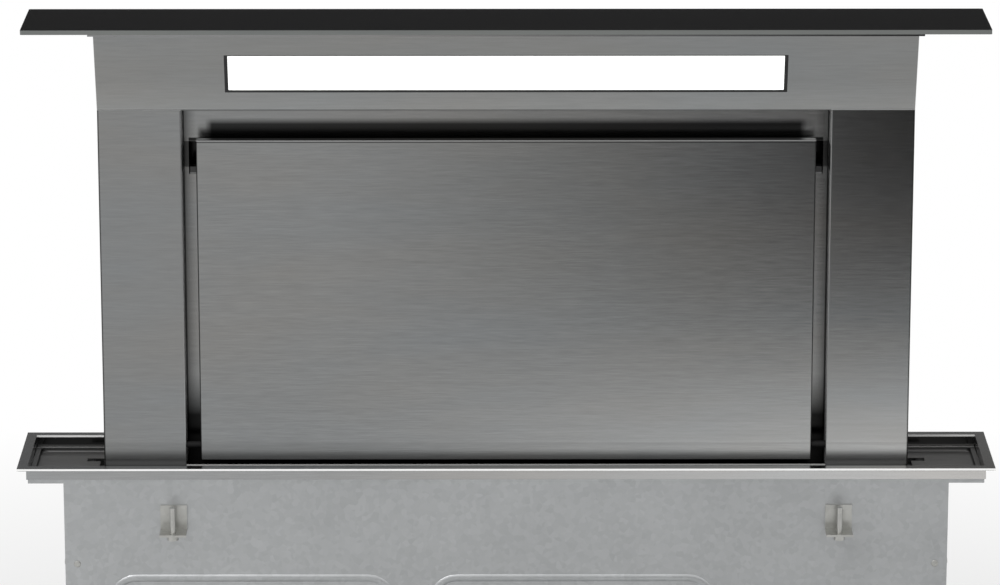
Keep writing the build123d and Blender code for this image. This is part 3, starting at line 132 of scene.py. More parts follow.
class Finish:
    """A material whose colour, roughness and relief come from a few procedural layers."""

    def __init__(self, name, color, metallic=0.0, roughness=0.5, specular=0.5):
        self.material = bpy.data.materials.new(name)
        self.material.use_nodes = True
        self.tree = self.material.node_tree
        self.shader = self.tree.nodes["Principled BSDF"]
        self.shader.inputs["Base Color"].default_value = (*color, 1.0)
        self.shader.inputs["Metallic"].default_value = metallic
        self.shader.inputs["Roughness"].default_value = roughness
        self.shader.inputs["Specular IOR Level"].default_value = specular
        self.material.diffuse_color = (*color, 1.0)
        self.color = None
        self.start = (*color, 1.0)
        self.normal = None
        self.coords = self.node("ShaderNodeTexCoord")
        self.surface = self.tree.nodes["Material Output"].inputs["Surface"]

    def node(self, kind, **values):
        """Adds a node to the material and sets its values."""
        made = self.tree.nodes.new(kind)
        for key, value in values.items():
            setattr(made, key, value)
        return made

    def link(self, a, b):
        """Links an output to an input."""
        self.tree.links.new(a, b)

    def space(self, stretch):
        """Object coordinates, scaled so that one unit is one feature of the pattern."""
        mapping = self.node("ShaderNodeMapping")
        mapping.inputs["Scale"].default_value = stretch
        self.link(self.coords.outputs["Object"], mapping.inputs["Vector"])
        return mapping.outputs["Vector"]

    def noise(self, stretch, detail=2.0, contrast=1.0):
        """Cloudy noise from 0 to 1, with its middle spread out by the contrast."""
        texture = self.node("ShaderNodeTexNoise")
        texture.inputs["Scale"].default_value = 1.0
        texture.inputs["Detail"].default_value = detail
        self.link(self.space(stretch), texture.inputs["Vector"])
        return self.spread(texture.outputs["Fac"], 0.5 - 0.25 / contrast, 0.5 + 0.25 / contrast)

    def cells(self, stretch, output="Color"):
        """Random cells, as in zinc spangle."""
        texture = self.node("ShaderNodeTexVoronoi")
        texture.inputs["Scale"].default_value = 1.0
        self.link(self.space(stretch), texture.inputs["Vector"])
        return texture.outputs[output]

    def spread(self, value, low, high, to_low=0.0, to_high=1.0):
        """A value mapped from one range to another and held inside it."""
        ranged = self.node("ShaderNodeMapRange")
        ranged.inputs["From Min"].default_value = low
        ranged.inputs["From Max"].default_value = high
        ranged.inputs["To Min"].default_value = to_low
        ranged.inputs["To Max"].default_value = to_high
        self.link(value, ranged.inputs["Value"])
        return ranged.outputs["Result"]

    def tint(self, value, dark, light):
        """Multiplies the colour by a mix of two colours."""
        pick = self.node("ShaderNodeMix", data_type="RGBA")
        self.link(value, pick.inputs[0])
        pick.inputs[COLOR_A].default_value = (*dark, 1.0)
        pick.inputs[COLOR_B].default_value = (*light, 1.0)
        product = self.node("ShaderNodeMix", data_type="RGBA", blend_type="MULTIPLY")
        product.inputs[0].default_value = 1.0
        if self.color is None:
            product.inputs[COLOR_A].default_value = self.start
        else:
            self.link(self.color, product.inputs[COLOR_A])
        self.link(pick.outputs[COLOR_OUT], product.inputs[COLOR_B])
        self.color = product.outputs[COLOR_OUT]
        self.link(self.color, self.shader.inputs["Base Color"])
        return self

    def gain(self, mask, level):
        """Multiplies the colour by a level where the mask is 1."""
        return self.tint(mask, (1.0, 1.0, 1.0), (level, level, level))

    def part(self, output, axis):
        """One coordinate, in metres, or one part of the surface's own direction."""
        split = self.node("ShaderNodeSeparateXYZ")
        self.link(self.coords.outputs[output], split.inputs[0])
        return split.outputs[axis]

    def size(self, value):
        """A value without its sign."""
        plain = self.node("ShaderNodeMath", operation="ABSOLUTE")
        self.link(value, plain.inputs[0])
        return plain.outputs[0]

    def both(self, a, b):
        """The product of two masks."""
        return times(self.tree, a, b)

    def upright(self):
        """1 on faces that stand upright and 0 on level ones."""
        return self.spread(self.size(self.part("Normal", "Z")), 0.4, 0.6, 1.0, 0.0)

    def facing(self, axis, low=0.5, high=0.7, to_low=0.0, to_high=1.0):
        """1 on faces that look along an axis, either way."""
        return self.spread(self.size(self.part("Normal", axis)), low, high, to_low, to_high)

    def above(self, axis, start, width=FADE):
        """1 where a coordinate is above a place and 0 below it."""
        return self.spread(self.part("Object", axis), start, start + width)

    def below(self, axis, end, width=FADE):
        """1 where a coordinate is below a place and 0 above it."""
        return self.spread(self.part("Object", axis), end - width, end, 1.0, 0.0)

    def band(self, axis, start, end):
        """1 between two places and 0 outside them."""
        return self.both(self.above(axis, start), self.below(axis, end))

    def beyond(self, axis, start, width=FADE):
        """1 further than a distance from the middle, on both sides, and 0 nearer."""
        return self.spread(self.size(self.part("Object", axis)), start, start + width)

    def within(self, axis, end, width=FADE):
        """1 nearer than a distance to the middle, on both sides, and 0 further."""
        return self.spread(self.size(self.part("Object", axis)), end - width, end, 1.0, 0.0)

    def matte(self, mask, color):
        """Gives the masked faces a plain colour without the metal's mirror."""
        mix = self.node("ShaderNodeMix", data_type="RGBA")
        self.link(mask, mix.inputs[0])
        self.link(self.color, mix.inputs[COLOR_A])
        mix.inputs[COLOR_B].default_value = (*color, 1.0)
        self.color = mix.outputs[COLOR_OUT]
        self.link(self.color, self.shader.inputs["Base Color"])
        self.link(self.spread(mask, 0.0, 1.0, 1.0, 0.0), self.shader.inputs["Metallic"])
        return self

    def shade(self, value, amount):
        """Darkens and lightens the colour by an amount each way."""
        return self.tint(value, (1 - amount,) * 3, (1 + amount,) * 3)

    def rough(self, value, low, high):
        """Varies the roughness between two values."""
        self.link(self.spread(value, 0.0, 1.0, low, high), self.shader.inputs["Roughness"])
        return self

    def relief(self, value, height, strength=1.0):
        """Bump of a height in metres."""
        bump = self.node("ShaderNodeBump")
        bump.inputs["Distance"].default_value = height
        bump.inputs["Strength"].default_value = strength
        self.link(value, bump.inputs["Height"])
        if self.normal is not None:
            self.link(self.normal, bump.inputs["Normal"])
        self.normal = bump.outputs["Normal"]
        self.link(self.normal, self.shader.inputs["Normal"])
        return self


# Features per metre along X, Y and Z, for streaks along each axis and for rings round it.
GRAIN = {"x": (45.0, 950.0, 950.0), "y": (950.0, 45.0, 950.0), "z": (950.0, 950.0, 45.0)}
COARSE = {"x": (14.0, 420.0, 420.0), "y": (420.0, 14.0, 420.0), "z": (420.0, 420.0, 14.0)}
RINGS = {"x": (1500.0, 40.0, 40.0), "y": (40.0, 1500.0, 40.0), "z": (40.0, 40.0, 1500.0)}


def brushed(name, color, roughness=0.15, along="x", streak=0.05, patch=0.025):
    """Brushed stainless steel: fine and coarse streaks, and faint warm and cool patches."""
    f = Finish(name, color, metallic=1.0, roughness=roughness)
    fine = f.noise(GRAIN[along], contrast=1.2)
    f.shade(fine, streak)
    f.shade(f.noise(COARSE[along], contrast=1.4), streak * 0.5)
    cloud = f.noise((3.5, 5.0, 12.0), detail=3.0, contrast=1.3)
    f.tint(cloud, (1 - patch, 1.0, 1 + patch), (1 + patch, 1.0, 1 - patch))
    f.rough(fine, roughness - 0.012, roughness + 0.018)
    return f.relief(fine, 0.000002, 0.3)


def rim_finish(name, color):
    """The trim's steel: a satin top, a painted highlight on its edges front and back, and painted shade
    on the inner walls below.
    """
    f = brushed(name, color)
    # Painted shade: the inner walls below the edge, inside the opening, made darker.
    wall = f.both(f.upright(), f.below("Z", RIM_EDGE))
    inside = f.both(f.within("X", OPEN_X + 0.6 * MM), f.within("Y", OPEN_Y + 0.6 * MM))
    f.gain(f.both(wall, inside), 0.12)
    # Painted highlight: the front and back edges made pale and matte instead of steel.
    edge = f.both(f.facing("Y"), f.above("Z", RIM_EDGE))
    return f.matte(edge, (0.93, 0.93, 0.92))


def tray_finish(name, color):
    """The drip trays' steel: a dull floor, painted shade on the pressed walls and a painted highlight on
    the edge above them.
    """
    f = brushed(name, color, 0.42)
    # Painted shade: the walls made darker than the floor.
    f.gain(f.facing("Z", 0.6, 0.97, 1.0, 0.0), 0.3)
    # Painted highlight: the top edge made brighter.
    lip_highlight = f.both(f.above("Z", TRAY_TOP - 0.3 * MM, 0.2 * MM), f.beyond("Y", TRAY_LIP))
    return f.gain(lip_highlight, 4.5)


def pillar_finish(name, color):
    """The column's steel: painted shade on its outer bends and on the inside face of its back sheet, and
    recess walls made pale and matte as painted light.
    """
    f = brushed(name, color)
    # Painted shade on the outer bends.
    outer = f.beyond("X", PILLAR_OUT - 1.6 * MM, 0.7 * MM)
    f.gain(f.both(outer, f.facing("Y", 0.2, 0.3)), 0.25)
    # Painted shade on the inside face of the back sheet, seen through the slot.
    inside = f.band("Y", PANEL_INSIDE - 0.4 * MM, PANEL_INSIDE + 0.4 * MM)
    f.gain(f.both(inside, f.facing("Y")), 0.06)
    # Painted light: the recess walls made pale and matte to stand in for light reaching them.
    wall = f.both(f.facing("X", 0.9, 0.95), f.within("X", RECESS_HALF + 0.6 * MM))
    return f.matte(wall, (0.45, 0.45, 0.45))


def head_finish(name, color):
    """The head's steel, a little paler along its lower fold as a painted reflection, with a painted
    shadow line along its lower edge above the recess.
    """
    f = brushed(name, color)
    # Painted reflection: the lower fold made paler.
    f.gain(f.below("Z", HEAD_FOOT + 30.0 * MM, 30.0 * MM), 1.2)
    # Painted shadow: a dark line along the lower edge above the recess.
    seam_and_shadow_line = f.both(f.below("Z", HEAD_FOOT + 0.9 * MM), f.within("X", RECESS_HALF, 0.5 * MM))
    return f.gain(seam_and_shadow_line, 0.5)


def recess_finish(name, color):
    """The recess's back sheet, with painted shade towards the corners, in and just above the slot, in a
    band above the panel and towards the foot.
    """
    f = brushed(name, color, 0.24)
    # Painted shade, darker towards the foot.
    f.gain(f.below("Z", FOOT_SHADE_TOP, 38.0 * MM), 0.05)
    # Painted shade in a band above the panel's top edge.
    panel_shade = f.both(f.below("Z", PANEL_SHADE_TOP, 6.0 * MM), f.within("X", PANEL_SHADE_HALF, 6.5 * MM))
    f.gain(panel_shade, 0.12)
    # Painted shade in the slot's band.
    f.gain(f.band("Z", SLOT_FOOT, SLOT_TOP), 0.3)
    # Painted shade just above the slot.
    slot_lip_shade = f.both(f.band("Z", SLOT_TOP, SLOT_TOP + 3.2 * MM), f.within("X", SLOT_HALF))
    f.gain(slot_lip_shade, 0.1)
    # Painted shade towards the corners.
    f.gain(f.beyond("X", RECESS_HALF - 1.4 * MM, 0.6 * MM), 0.22)
    return f.gain(f.beyond("X", RECESS_HALF - 12.0 * MM, 12.0 * MM), 0.42)


def filter_finish(name, color):
    """The filters' frames, darker along their upper bar."""
    f = brushed(name, color, 0.36, "x", 0.06, 0.01)
    return f.gain(f.above("Z", FILTER_TOP - 5.5 * MM), 0.25)


def sill_finish(name, color):
    """The sill: painted shade on its level faces and a painted highlight, pale and matte, on its front
    edge.
    """
    f = brushed(name, color)
    # Painted shade on the level faces.
    f.tint(f.upright(), (0.12, 0.12, 0.12), (1.0, 1.0, 1.0))
    # Painted highlight on the front edge.
    return f.matte(f.facing("Y"), (0.5, 0.5, 0.49))


def panel_finish(name, color):
    """The front panel's steel, with painted shade along its sides, a dark seam along its top and a dull
    upper bend.
    """
    f = brushed(name, color, streak=0.07)
    # Painted shade along the sides.
    f.gain(f.beyond("X", PANEL_HALF - 1.3 * MM, 0.6 * MM), 0.14)
    front = f.below("Y", PANEL_FRONT + 1.2 * MM)
    seam_and_shadow_line = f.band("Z", PANEL_TOP - 2.4 * MM, PANEL_TOP - 1.3 * MM)
    f.gain(f.both(seam_and_shadow_line, front), 0.25)
    bend = f.both(f.above("Z", PANEL_TOP - 1.1 * MM), f.facing("Z", 0.9, 0.95, 1.0, 0.0))
    return f.matte(f.both(bend, front), (0.2, 0.2, 0.2))


def galvanised(name, color, roughness=0.42):
    """Zinc-coated sheet: a fine spangle and a few cloudy marks."""
    f = Finish(name, color, metallic=1.0, roughness=roughness)
    split = f.node("ShaderNodeSeparateColor")
    f.link(f.cells((210.0, 210.0, 210.0)), split.inputs[0])
    f.shade(split.outputs[0], 0.05)
    f.shade(f.noise((9.0, 9.0, 9.0), detail=4.0), 0.07)
    f.rough(split.outputs[1], roughness - 0.05, roughness + 0.05)
    return f.relief(f.noise((500.0, 500.0, 500.0)), 0.00002, 0.4)


def moulded(name, color, roughness=0.45, grain=900.0, spread=0.06, specular=0.4):
    """Moulded plastic: a fine spark-eroded texture and faint flow clouding."""
    f = Finish(name, color, roughness=roughness, specular=specular)
    fine = f.noise((grain, grain, grain), detail=3.0)
    f.shade(f.noise((22.0, 22.0, 22.0), detail=3.0), spread)
    f.rough(fine, roughness - 0.06, roughness + 0.08)
    return f.relief(fine, 0.00004, 0.6)


def rubber(name, color):
    """Matte rubber with a dusty bloom."""
    f = Finish(name, color, roughness=0.75, specular=0.25)
    f.tint(f.noise((35.0, 35.0, 60.0), detail=5.0), (0.8, 0.8, 0.8), (1.5, 1.5, 1.45))
    fine = f.noise((1400.0, 1400.0, 1400.0))
    f.rough(fine, 0.68, 0.86)
    return f.relief(fine, 0.00006, 0.7)


def foam(name, color):
    """Closed-cell foam."""
    f = Finish(name, color, roughness=0.9, specular=0.15)
    cell = f.cells((900.0, 900.0, 900.0), "Distance")
    f.shade(cell, 0.25)
    return f.relief(cell, 0.0002, 0.8)


def painted(name, color, roughness=0.4, specular=0.5, metallic=0.0):
    """Enamel or powder coat with a fine orange peel."""
    f = Finish(name, color, metallic=metallic, roughness=roughness, specular=specular)
    peel = f.noise((420.0, 420.0, 420.0), detail=2.0)
    f.shade(f.noise((14.0, 14.0, 14.0), detail=4.0), 0.04)
    f.rough(peel, roughness - 0.05, roughness + 0.07)
    return f.relief(peel, 0.00005, 0.5)


def turned(name, color, roughness=0.25, along="x"):
    """Ground or turned metal: fine rings across its axis."""
    f = Finish(name, color, metallic=1.0, roughness=roughness)
    fine = f.noise(RINGS[along])
    f.shade(fine, 0.1)
    f.rough(fine, roughness - 0.06, roughness + 0.08)
    return f.relief(fine, 0.00002, 0.4)


def board(name, color):
    """A circuit board: solder mask with darker tracks and pale pads."""
    f = Finish(name, color, roughness=0.35, specular=0.5)
    tracks = f.node("ShaderNodeTexBrick")
    tracks.inputs["Scale"].default_value = 1.0
    f.link(f.space((260.0, 260.0, 260.0)), tracks.inputs["Vector"])
    f.tint(f.spread(tracks.outputs["Fac"], 0.0, 1.0), (1.0, 1.0, 1.0), (0.7, 0.75, 0.7))
    between = f.spread(f.cells((170.0, 170.0, 170.0), "Distance"), 0.12, 0.16)
    f.tint(between, (2.2, 1.6, 1.8), (1.0, 1.0, 1.0))
    return f.rough(f.noise((300.0, 300.0, 300.0)), 0.28, 0.45)


def black_glass(name, color, edge):
    """Satin black glass whose ground edge shows paler."""
    f = Finish(name, color, roughness=0.3, specular=0.1)
    f.tint(f.noise((6.0, 6.0, 6.0), detail=4.0), (0.9, 0.9, 0.92), (1.12, 1.1, 1.08))
    side = f.facing("Z", 0.35, 0.75, 1.0, 0.0)
    f.tint(side, (1.0, 1.0, 1.0), tuple(e / c for e, c in zip(edge, color)))
    grain = f.noise((1200.0, 1200.0, 1200.0))
    f.rough(grain, 0.17, 0.23)
    return f.relief(grain, 0.00001, 0.4)


def lit_opal(name, color, glow):
    """The glowing opal plate in front of the light, faintly clouded and a trace green."""
    f = Finish(name, color, roughness=0.5)
    f.shade(f.noise((9.0, 9.0, 9.0), detail=1.0), 0.02)
    f.shader.inputs["Emission Color"].default_value = (0.985, 1.0, 0.985, 1.0)
    f.shader.inputs["Emission Strength"].default_value = glow
    return f.relief(f.noise((700.0, 700.0, 700.0)), 0.00003, 0.4)


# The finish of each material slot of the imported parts.
FINISHES = {
    "rim_steel": rim_finish("rim_steel", (0.35, 0.352, 0.35)),
    "foam": foam("foam", (0.03, 0.03, 0.032)),
    "tray_steel": tray_finish("tray_steel", (0.2, 0.2, 0.199)),
    "galvanised": galvanised("galvanised", (0.43, 0.44, 0.445)),
    "zinc_plate": galvanised("zinc_plate", (0.44, 0.44, 0.42), 0.34),
    "wiper_rubber": rubber("wiper_rubber", (0.02, 0.02, 0.021)),
    "rail_aluminium": brushed("rail_aluminium", (0.62, 0.63, 0.64), 0.33, "z", 0.06, 0.01),
    "belt_rubber": rubber("belt_rubber", (0.025, 0.025, 0.026)),
    "bearing_plastic": moulded("bearing_plastic", (0.78, 0.76, 0.7)),
    "shaft_steel": turned("shaft_steel", (0.58, 0.58, 0.58), 0.22, "x"),
    "pulley_plastic": moulded("pulley_plastic", (0.035, 0.035, 0.037), 0.42),
    "gearbox_plastic": moulded("gearbox_plastic", (0.05, 0.05, 0.055), 0.48),
    "motor_can": painted("motor_can", (0.42, 0.43, 0.44), 0.36, metallic=0.9),
    "column_steel": pillar_finish("column_steel", (0.266, 0.27, 0.268)),
    "head_steel": head_finish("head_steel", (0.262, 0.266, 0.264)),
    "light_tray_paint": painted("light_tray_paint", (0.82, 0.82, 0.8), 0.3),
    "diffuser_opal": lit_opal("diffuser_opal", (0.92, 0.93, 0.91), 1.0),
    "board_white": board("board_white", (0.8, 0.8, 0.77)),
    "glass_black": black_glass("glass_black", (0.007, 0.007, 0.0072), (0.16, 0.17, 0.165)),
    "carrier_steel": brushed("carrier_steel", (0.28, 0.28, 0.28)),
    "board_green": board("board_green", (0.03, 0.14, 0.06)),
    "intake_steel": recess_finish("intake_steel", (0.28, 0.28, 0.275)),
    "filter_aluminium": filter_finish("filter_aluminium", (0.3, 0.3, 0.3)),
    "filter_core_aluminium": brushed("filter_core_aluminium", (0.54, 0.54, 0.54), 0.3, "z", 0.06, 0.01),
    "handle_wire": turned("handle_wire", (0.66, 0.66, 0.66), 0.16, "x"),
    "sill_steel": sill_finish("sill_steel", (0.75, 0.75, 0.74)),
    "frame_steel": painted("frame_steel", (0.12, 0.125, 0.13), 0.48),
    "shoe_plastic": moulded("shoe_plastic", (0.8, 0.8, 0.77), 0.4),
    "clamp_aluminium": brushed("clamp_aluminium", (0.58, 0.58, 0.58), 0.35, "z", 0.06, 0.01),
    "panel_steel": panel_finish("panel_steel", (0.268, 0.272, 0.27)),
    "pivot_plastic": moulded("pivot_plastic", (0.012, 0.012, 0.012), 0.6, specular=0.1),
    "magnet_plastic": moulded("magnet_plastic", (0.05, 0.05, 0.052)),
    "volute_plastic": moulded("volute_plastic", (0.09, 0.092, 0.095), 0.5, 600.0),
    "blower_motor_can": painted("blower_motor_can", (0.03, 0.03, 0.032), 0.42),
    "wheel_steel": galvanised("wheel_steel", (0.5, 0.51, 0.52), 0.34),
    "collar_plastic": moulded("collar_plastic", (0.05, 0.05, 0.052), 0.5, 600.0),
    "flap_plastic": moulded("flap_plastic", (0.45, 0.45, 0.44), 0.45),
    "control_plastic": moulded("control_plastic", (0.55, 0.55, 0.53), 0.5),
    "gland_plastic": moulded("gland_plastic", (0.06, 0.06, 0.06), 0.45),
    "screw_steel": turned("screw_steel", (0.55, 0.55, 0.53), 0.3, "y"),
}

for node in frame["nodes"].values():
    for material_slot in node.material_slots:
        slot_name = material_slot.material.name.split(".")[0]
        material_slot.material = FINISHES[slot_name].material


# ---------------------------------------------------------------- small pieces
SHARP_ANGLE = 32.0


def piece(name, body, slot_name, mesh):
    """Makes an object of a bmesh, gives it the finish of a slot and lets it ride on a body."""
    data = bpy.data.meshes.new(name)
    bmesh.ops.recalc_face_normals(mesh, faces=mesh.faces)
    mesh.to_mesh(data)
    mesh.free()
    made = bpy.data.objects.new(name, data)
    bpy.context.scene.collection.objects.link(made)
    data.materials.append(FINISHES[slot_name].material)
    data.shade_smooth()
    data.set_sharp_from_angle(angle=radians(SHARP_ANGLE))
    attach(made, body)
    return made


def loft(mesh, rings, caps=True):
    """Joins closed rings of points, one after the other, into a skin, with or without end caps."""
    rows = [[mesh.verts.new(point) for point in ring] for ring in rings]
    count = len(rows[0])
    for a, b in zip(rows, rows[1:]):
        for n in range(count):
            m = (n + 1) % count
            mesh.faces.new((a[n], a[m], b[m], b[n]))
    if caps:
        mesh.faces.new(rows[0])
        mesh.faces.new(rows[-1])
    return mesh


def arc(center, radius, start, end, steps):
    """Points on an arc, angles in degrees."""
    turns = [radians(start + (end - start) * n / steps) for n in range(steps + 1)]
    return [(center[0] + radius * cos(t), center[1] + radius * sin(t)) for t in turns]


def circle(center, radius, steps):
    """Points round a whole circle."""
    return arc(center, radius, 0.0, 360.0, steps)[:-1]


# The direction up the head's leaning face, as (Y, Z).
lean = (Vector((head_low.y, head_high.z)) - Vector((pillar_low.y, head_low.z))).normalized()


def on_head(up, out):
    """The (Y, Z) place a distance up the leaning face and a distance in front of it."""
    return (
        pillar_low.y + lean.x * up - lean.y * out,
        head_low.z + lean.y * up + lean.x * out,
    )


WINDOW_UP = (19.8 * MM, 57.2 * MM)


def window_gasket():
    """The black gasket round the light's window, wider at its ends, a little proud of the steel."""
    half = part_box("light_diffuser")[1].x
    first, last = WINDOW_UP
    # Half the width, the lower edge and the upper edge of the gasket's inside and outside.
    inner = (half - 2.2 * MM, first + 0.7 * MM, last - 0.2 * MM)
    outer = (half + 0.9 * MM, first - 0.9 * MM, last + 0.4 * MM)
    # Its section, as (share of the way outward, rise) pairs.
    profile = ((0.0, -1.4 * MM), (0.0, 0.25 * MM), (0.3, 0.35 * MM), (0.9, 0.2 * MM), (1.0, 0.0))
    mesh = bmesh.new()
    rows = []
    # The four corners: a side, and 1 for the lower edge or 2 for the upper one.
    for sx, end in ((-1, 1), (1, 1), (1, 2), (-1, 2)):
        row = []
        for share, rise in profile:
            x = inner[0] + (outer[0] - inner[0]) * share
            y, z = on_head(inner[end] + (outer[end] - inner[end]) * share, rise)
            row.append(mesh.verts.new((sx * x, y, z)))
        rows.append(row)
    for side in range(4):
        a, b = rows[side], rows[(side + 1) % 4]
        for n in range(len(profile) - 1):
            mesh.faces.new((a[n], a[n + 1], b[n + 1], b[n]))
    return piece("window_gasket", "column", "wiper_rubber", mesh)


window_gasket()


def bead(name, body, slot_name, half, center, radius):
    """A round bar along X between two half-widths, closed at its ends."""
    section = circle(center, radius, 16)
    mesh = loft(bmesh.new(), [[(x, y, z) for y, z in section] for x in (-half, half)])
    return piece(name, body, slot_name, mesh)


# ---------------------------------------------------------------- details on the flat sheets
# The directions across, up and out of a face.
FACES = {
    "front": (Vector((1, 0, 0)), Vector((0, 0, 1)), Vector((0, -1, 0))),
    "back": (Vector((-1, 0, 0)), Vector((0, 0, 1)), Vector((0, 1, 0))),
    "right": (Vector((0, 1, 0)), Vector((0, 0, 1)), Vector((1, 0, 0))),
    "left": (Vector((0, -1, 0)), Vector((0, 0, 1)), Vector((-1, 0, 0))),
}
# Profiles, as (inset, rise) pairs in millimetres.
RIVET = ((0.0, -0.2), (0.0, 0.2), (0.35, 0.7), (1.1, 1.0), (1.9, 1.05), (2.05, 0.8), (2.9, 0.8))
EMBOSSED = ((0.0, -0.2), (0.5, 0.15), (1.8, 0.8), (3.6, 1.05), (5.4, 0.8), (6.7, 0.15), (7.2, -0.2))
BAR = ((0.0, -0.2), (0.5, 0.15), (1.6, 0.75), (3.0, 1.0), (4.2, 1.05))
STRIP = ((0.0, -0.2), (0.0, 0.5), (0.2, 0.7), (2.0, 0.7))
GASKET = ((0.0, -0.2), (0.0, 1.0), (0.4, 1.3), (6.0, 1.3))
LOUVRE_SHADOW = ((0.0, -0.2), (0.0, 0.2), (0.3, 0.3), (1.0, 0.3))
RIVET_RADIUS = 3.2 * MM
SHARPEST = 0.02 * MM  # the smallest corner radius
CORNER_STEPS = 6


def pad(mesh, face, place, half, corner, profile, caps=True):
    """Raises a rounded rectangle from a flat face, as rings that step inward along a profile."""
    across, up, out = FACES[face]
    rings = []
    for inset, rise in profile:
        reach = max(corner - inset * MM, SHARPEST)
        outline = []
        for n, (su, sv) in enumerate(((1, 1), (-1, 1), (-1, -1), (1, -1))):
            center = (su * (half[0] - inset * MM - reach), sv * (half[1] - inset * MM - reach))
            outline += arc(center, reach, 90.0 * n, 90.0 * n + 90.0, CORNER_STEPS)
        rings.append([Vector(place) + across * a + up * b + out * rise * MM for a, b in outline])
    return loft(mesh, rings, caps=caps)


def evenly(start, end, count):
    """Places from start to end with equal steps."""
    return [start + (end - start) * n / (count - 1) for n in range(count)]


def rivets(name, body, slot_name, face, places):
    """Blind rivets on a face."""
    mesh = bmesh.new()
    for place in places:
        pad(mesh, face, place, (RIVET_RADIUS, RIVET_RADIUS), RIVET_RADIUS, RIVET)
    return piece(name, body, slot_name, mesh)


def raised(name, body, slot_name, face, shapes, profile, caps=True):
    """Pads of one profile on a face, each a (place, half sizes, corner radius)."""
    mesh = bmesh.new()
    for place, half, corner in shapes:
        pad(mesh, face, place, half, corner, profile, caps)
    return piece(name, body, slot_name, mesh)


def pressed(name, body, slot_name, face, shapes):
    """Pressed ribs that follow the border of each shape and leave its middle flat."""
    return raised(name, body, slot_name, face, shapes, EMBOSSED, caps=False)


# Faces and corners of the solids that the details sit on.
HOUSING_SHEET = 1.0 * MM
front_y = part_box("housing_front")[0].y
back_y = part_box("housing_back")[1].y
wall_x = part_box("guide_rails")[1].x + HOUSING_SHEET
box_low, box_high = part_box("blower_box")
lid_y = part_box("blower_lid")[0].y
control_low, control_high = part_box("control_box")
control_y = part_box("control_lid")[0].y
panel_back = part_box("back_panel")[1].y
SIDES = ((1, "right"), (-1, "left"))

# The housing: two rows of rivets and pressed ribs on each sheet, and bars on its back.
RIVET_X = 0.388
RIVET_Y = 0.04
RIVET_HEIGHTS = evenly(-0.61, -0.09, 7)
SIDE_RIB_Z = -0.33
BACK_RIBS_X = (-0.187, 0.187)
BACK_RIB_Z = -0.35
BAR_STEP = 0.07

for face, y in (("back", back_y), ("front", front_y)):
    places = [(x, y, z) for x in (-RIVET_X, RIVET_X) for z in RIVET_HEIGHTS]
    rivets(f"rivets_{face}", "housing", "zinc_plate", face, places)
for side, face in SIDES:
    places = [(side * wall_x, y, z) for y in (-RIVET_Y, RIVET_Y) for z in RIVET_HEIGHTS]
    rivets(f"rivets_{face}", "housing", "zinc_plate", face, places)
    side_rib = ((side * wall_x, 0.0, SIDE_RIB_Z), (0.014, 0.22), 0.014)
    pressed(f"rib_{face}", "housing", "galvanised", face, [side_rib])

frames = [((x, back_y, BACK_RIB_Z), (0.165, 0.24), 0.03) for x in BACK_RIBS_X]
pressed("ribs_back", "housing", "galvanised", "back", frames)
bar_places = [x + step for x in BACK_RIBS_X for step in (-BAR_STEP, 0.0, BAR_STEP)]
bars = [((x, back_y, BACK_RIB_Z), (0.006, 0.19), 0.006) for x in bar_places]
raised("bars_back", "housing", "galvanised", "back", bars, BAR)
frames = [((x, front_y, -0.205), (0.13, 0.105), 0.025) for x in (-0.23, 0.06)]
pressed("ribs_front", "housing", "galvanised", "front", frames)

# The blower box: its gasket, and the rib, louvres and dark strips of painted shade under the louvres on
# its lid.
GASKET_OUT = 2.0 * MM
LID_RIB_IN = 22.0 * MM
LOUVRE_STEP = 14.0 * MM
LOUVRE_SHADOW_BELOW = 6.6 * MM

box_x, box_z = (box_low.x + box_high.x) / 2, (box_low.z + box_high.z) / 2
half = ((box_high.x - box_low.x) / 2 + GASKET_OUT, (box_high.z - box_low.z) / 2 + GASKET_OUT)
gasket = ((box_x, front_y, box_z), half, 3.0 * MM)
raised("blower_gasket", "housing", "foam", "front", [gasket], GASKET, caps=False)
lid_rib = ((box_x, lid_y, box_z), (half[0] - LID_RIB_IN, half[1] - LID_RIB_IN), 0.02)
pressed("lid_rib", "housing", "galvanised", "front", [lid_rib])
motor_low, motor_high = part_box("blower_motor")
vent_x, vent_z = (motor_low.x + motor_high.x) / 2, (motor_low.z + motor_high.z) / 2
hoods = [((vent_x, lid_y, vent_z + step * LOUVRE_STEP), (0.034, 0.0048), 0.0048) for step in range(-3, 4)]
raised("lid_louvres", "housing", "galvanised", "front", hoods, BAR)
# Painted shade: dark strips that stand for the shaded openings under the louvres.
louvre_shadows = [((x, y, z - LOUVRE_SHADOW_BELOW), (0.031, 0.0014), 0.0014) for (x, y, z), _, _ in hoods]
raised("lid_louvre_shadows", "housing", "foam", "front", louvre_shadows, LOUVRE_SHADOW)

# The blower box's sides: a rib on the free one, rivets on both.
EDGE_INSET = 8.0 * MM
depth = (box_low.y + front_y) / 2
for side, face in SIDES:
    wall = box_high.x if side > 0 else box_low.x
    if side > 0:
        pressed("box_rib", "housing", "galvanised", face, [((wall, depth, box_z), (0.07, 0.12), 0.02)])
    rows = (box_low.y + EDGE_INSET, front_y - EDGE_INSET)
    corners = [(wall, y, z) for y in rows for z in evenly(-0.645, -0.365, 4)]
    rivets(f"box_rivets_{face}", "housing", "zinc_plate", face, corners)

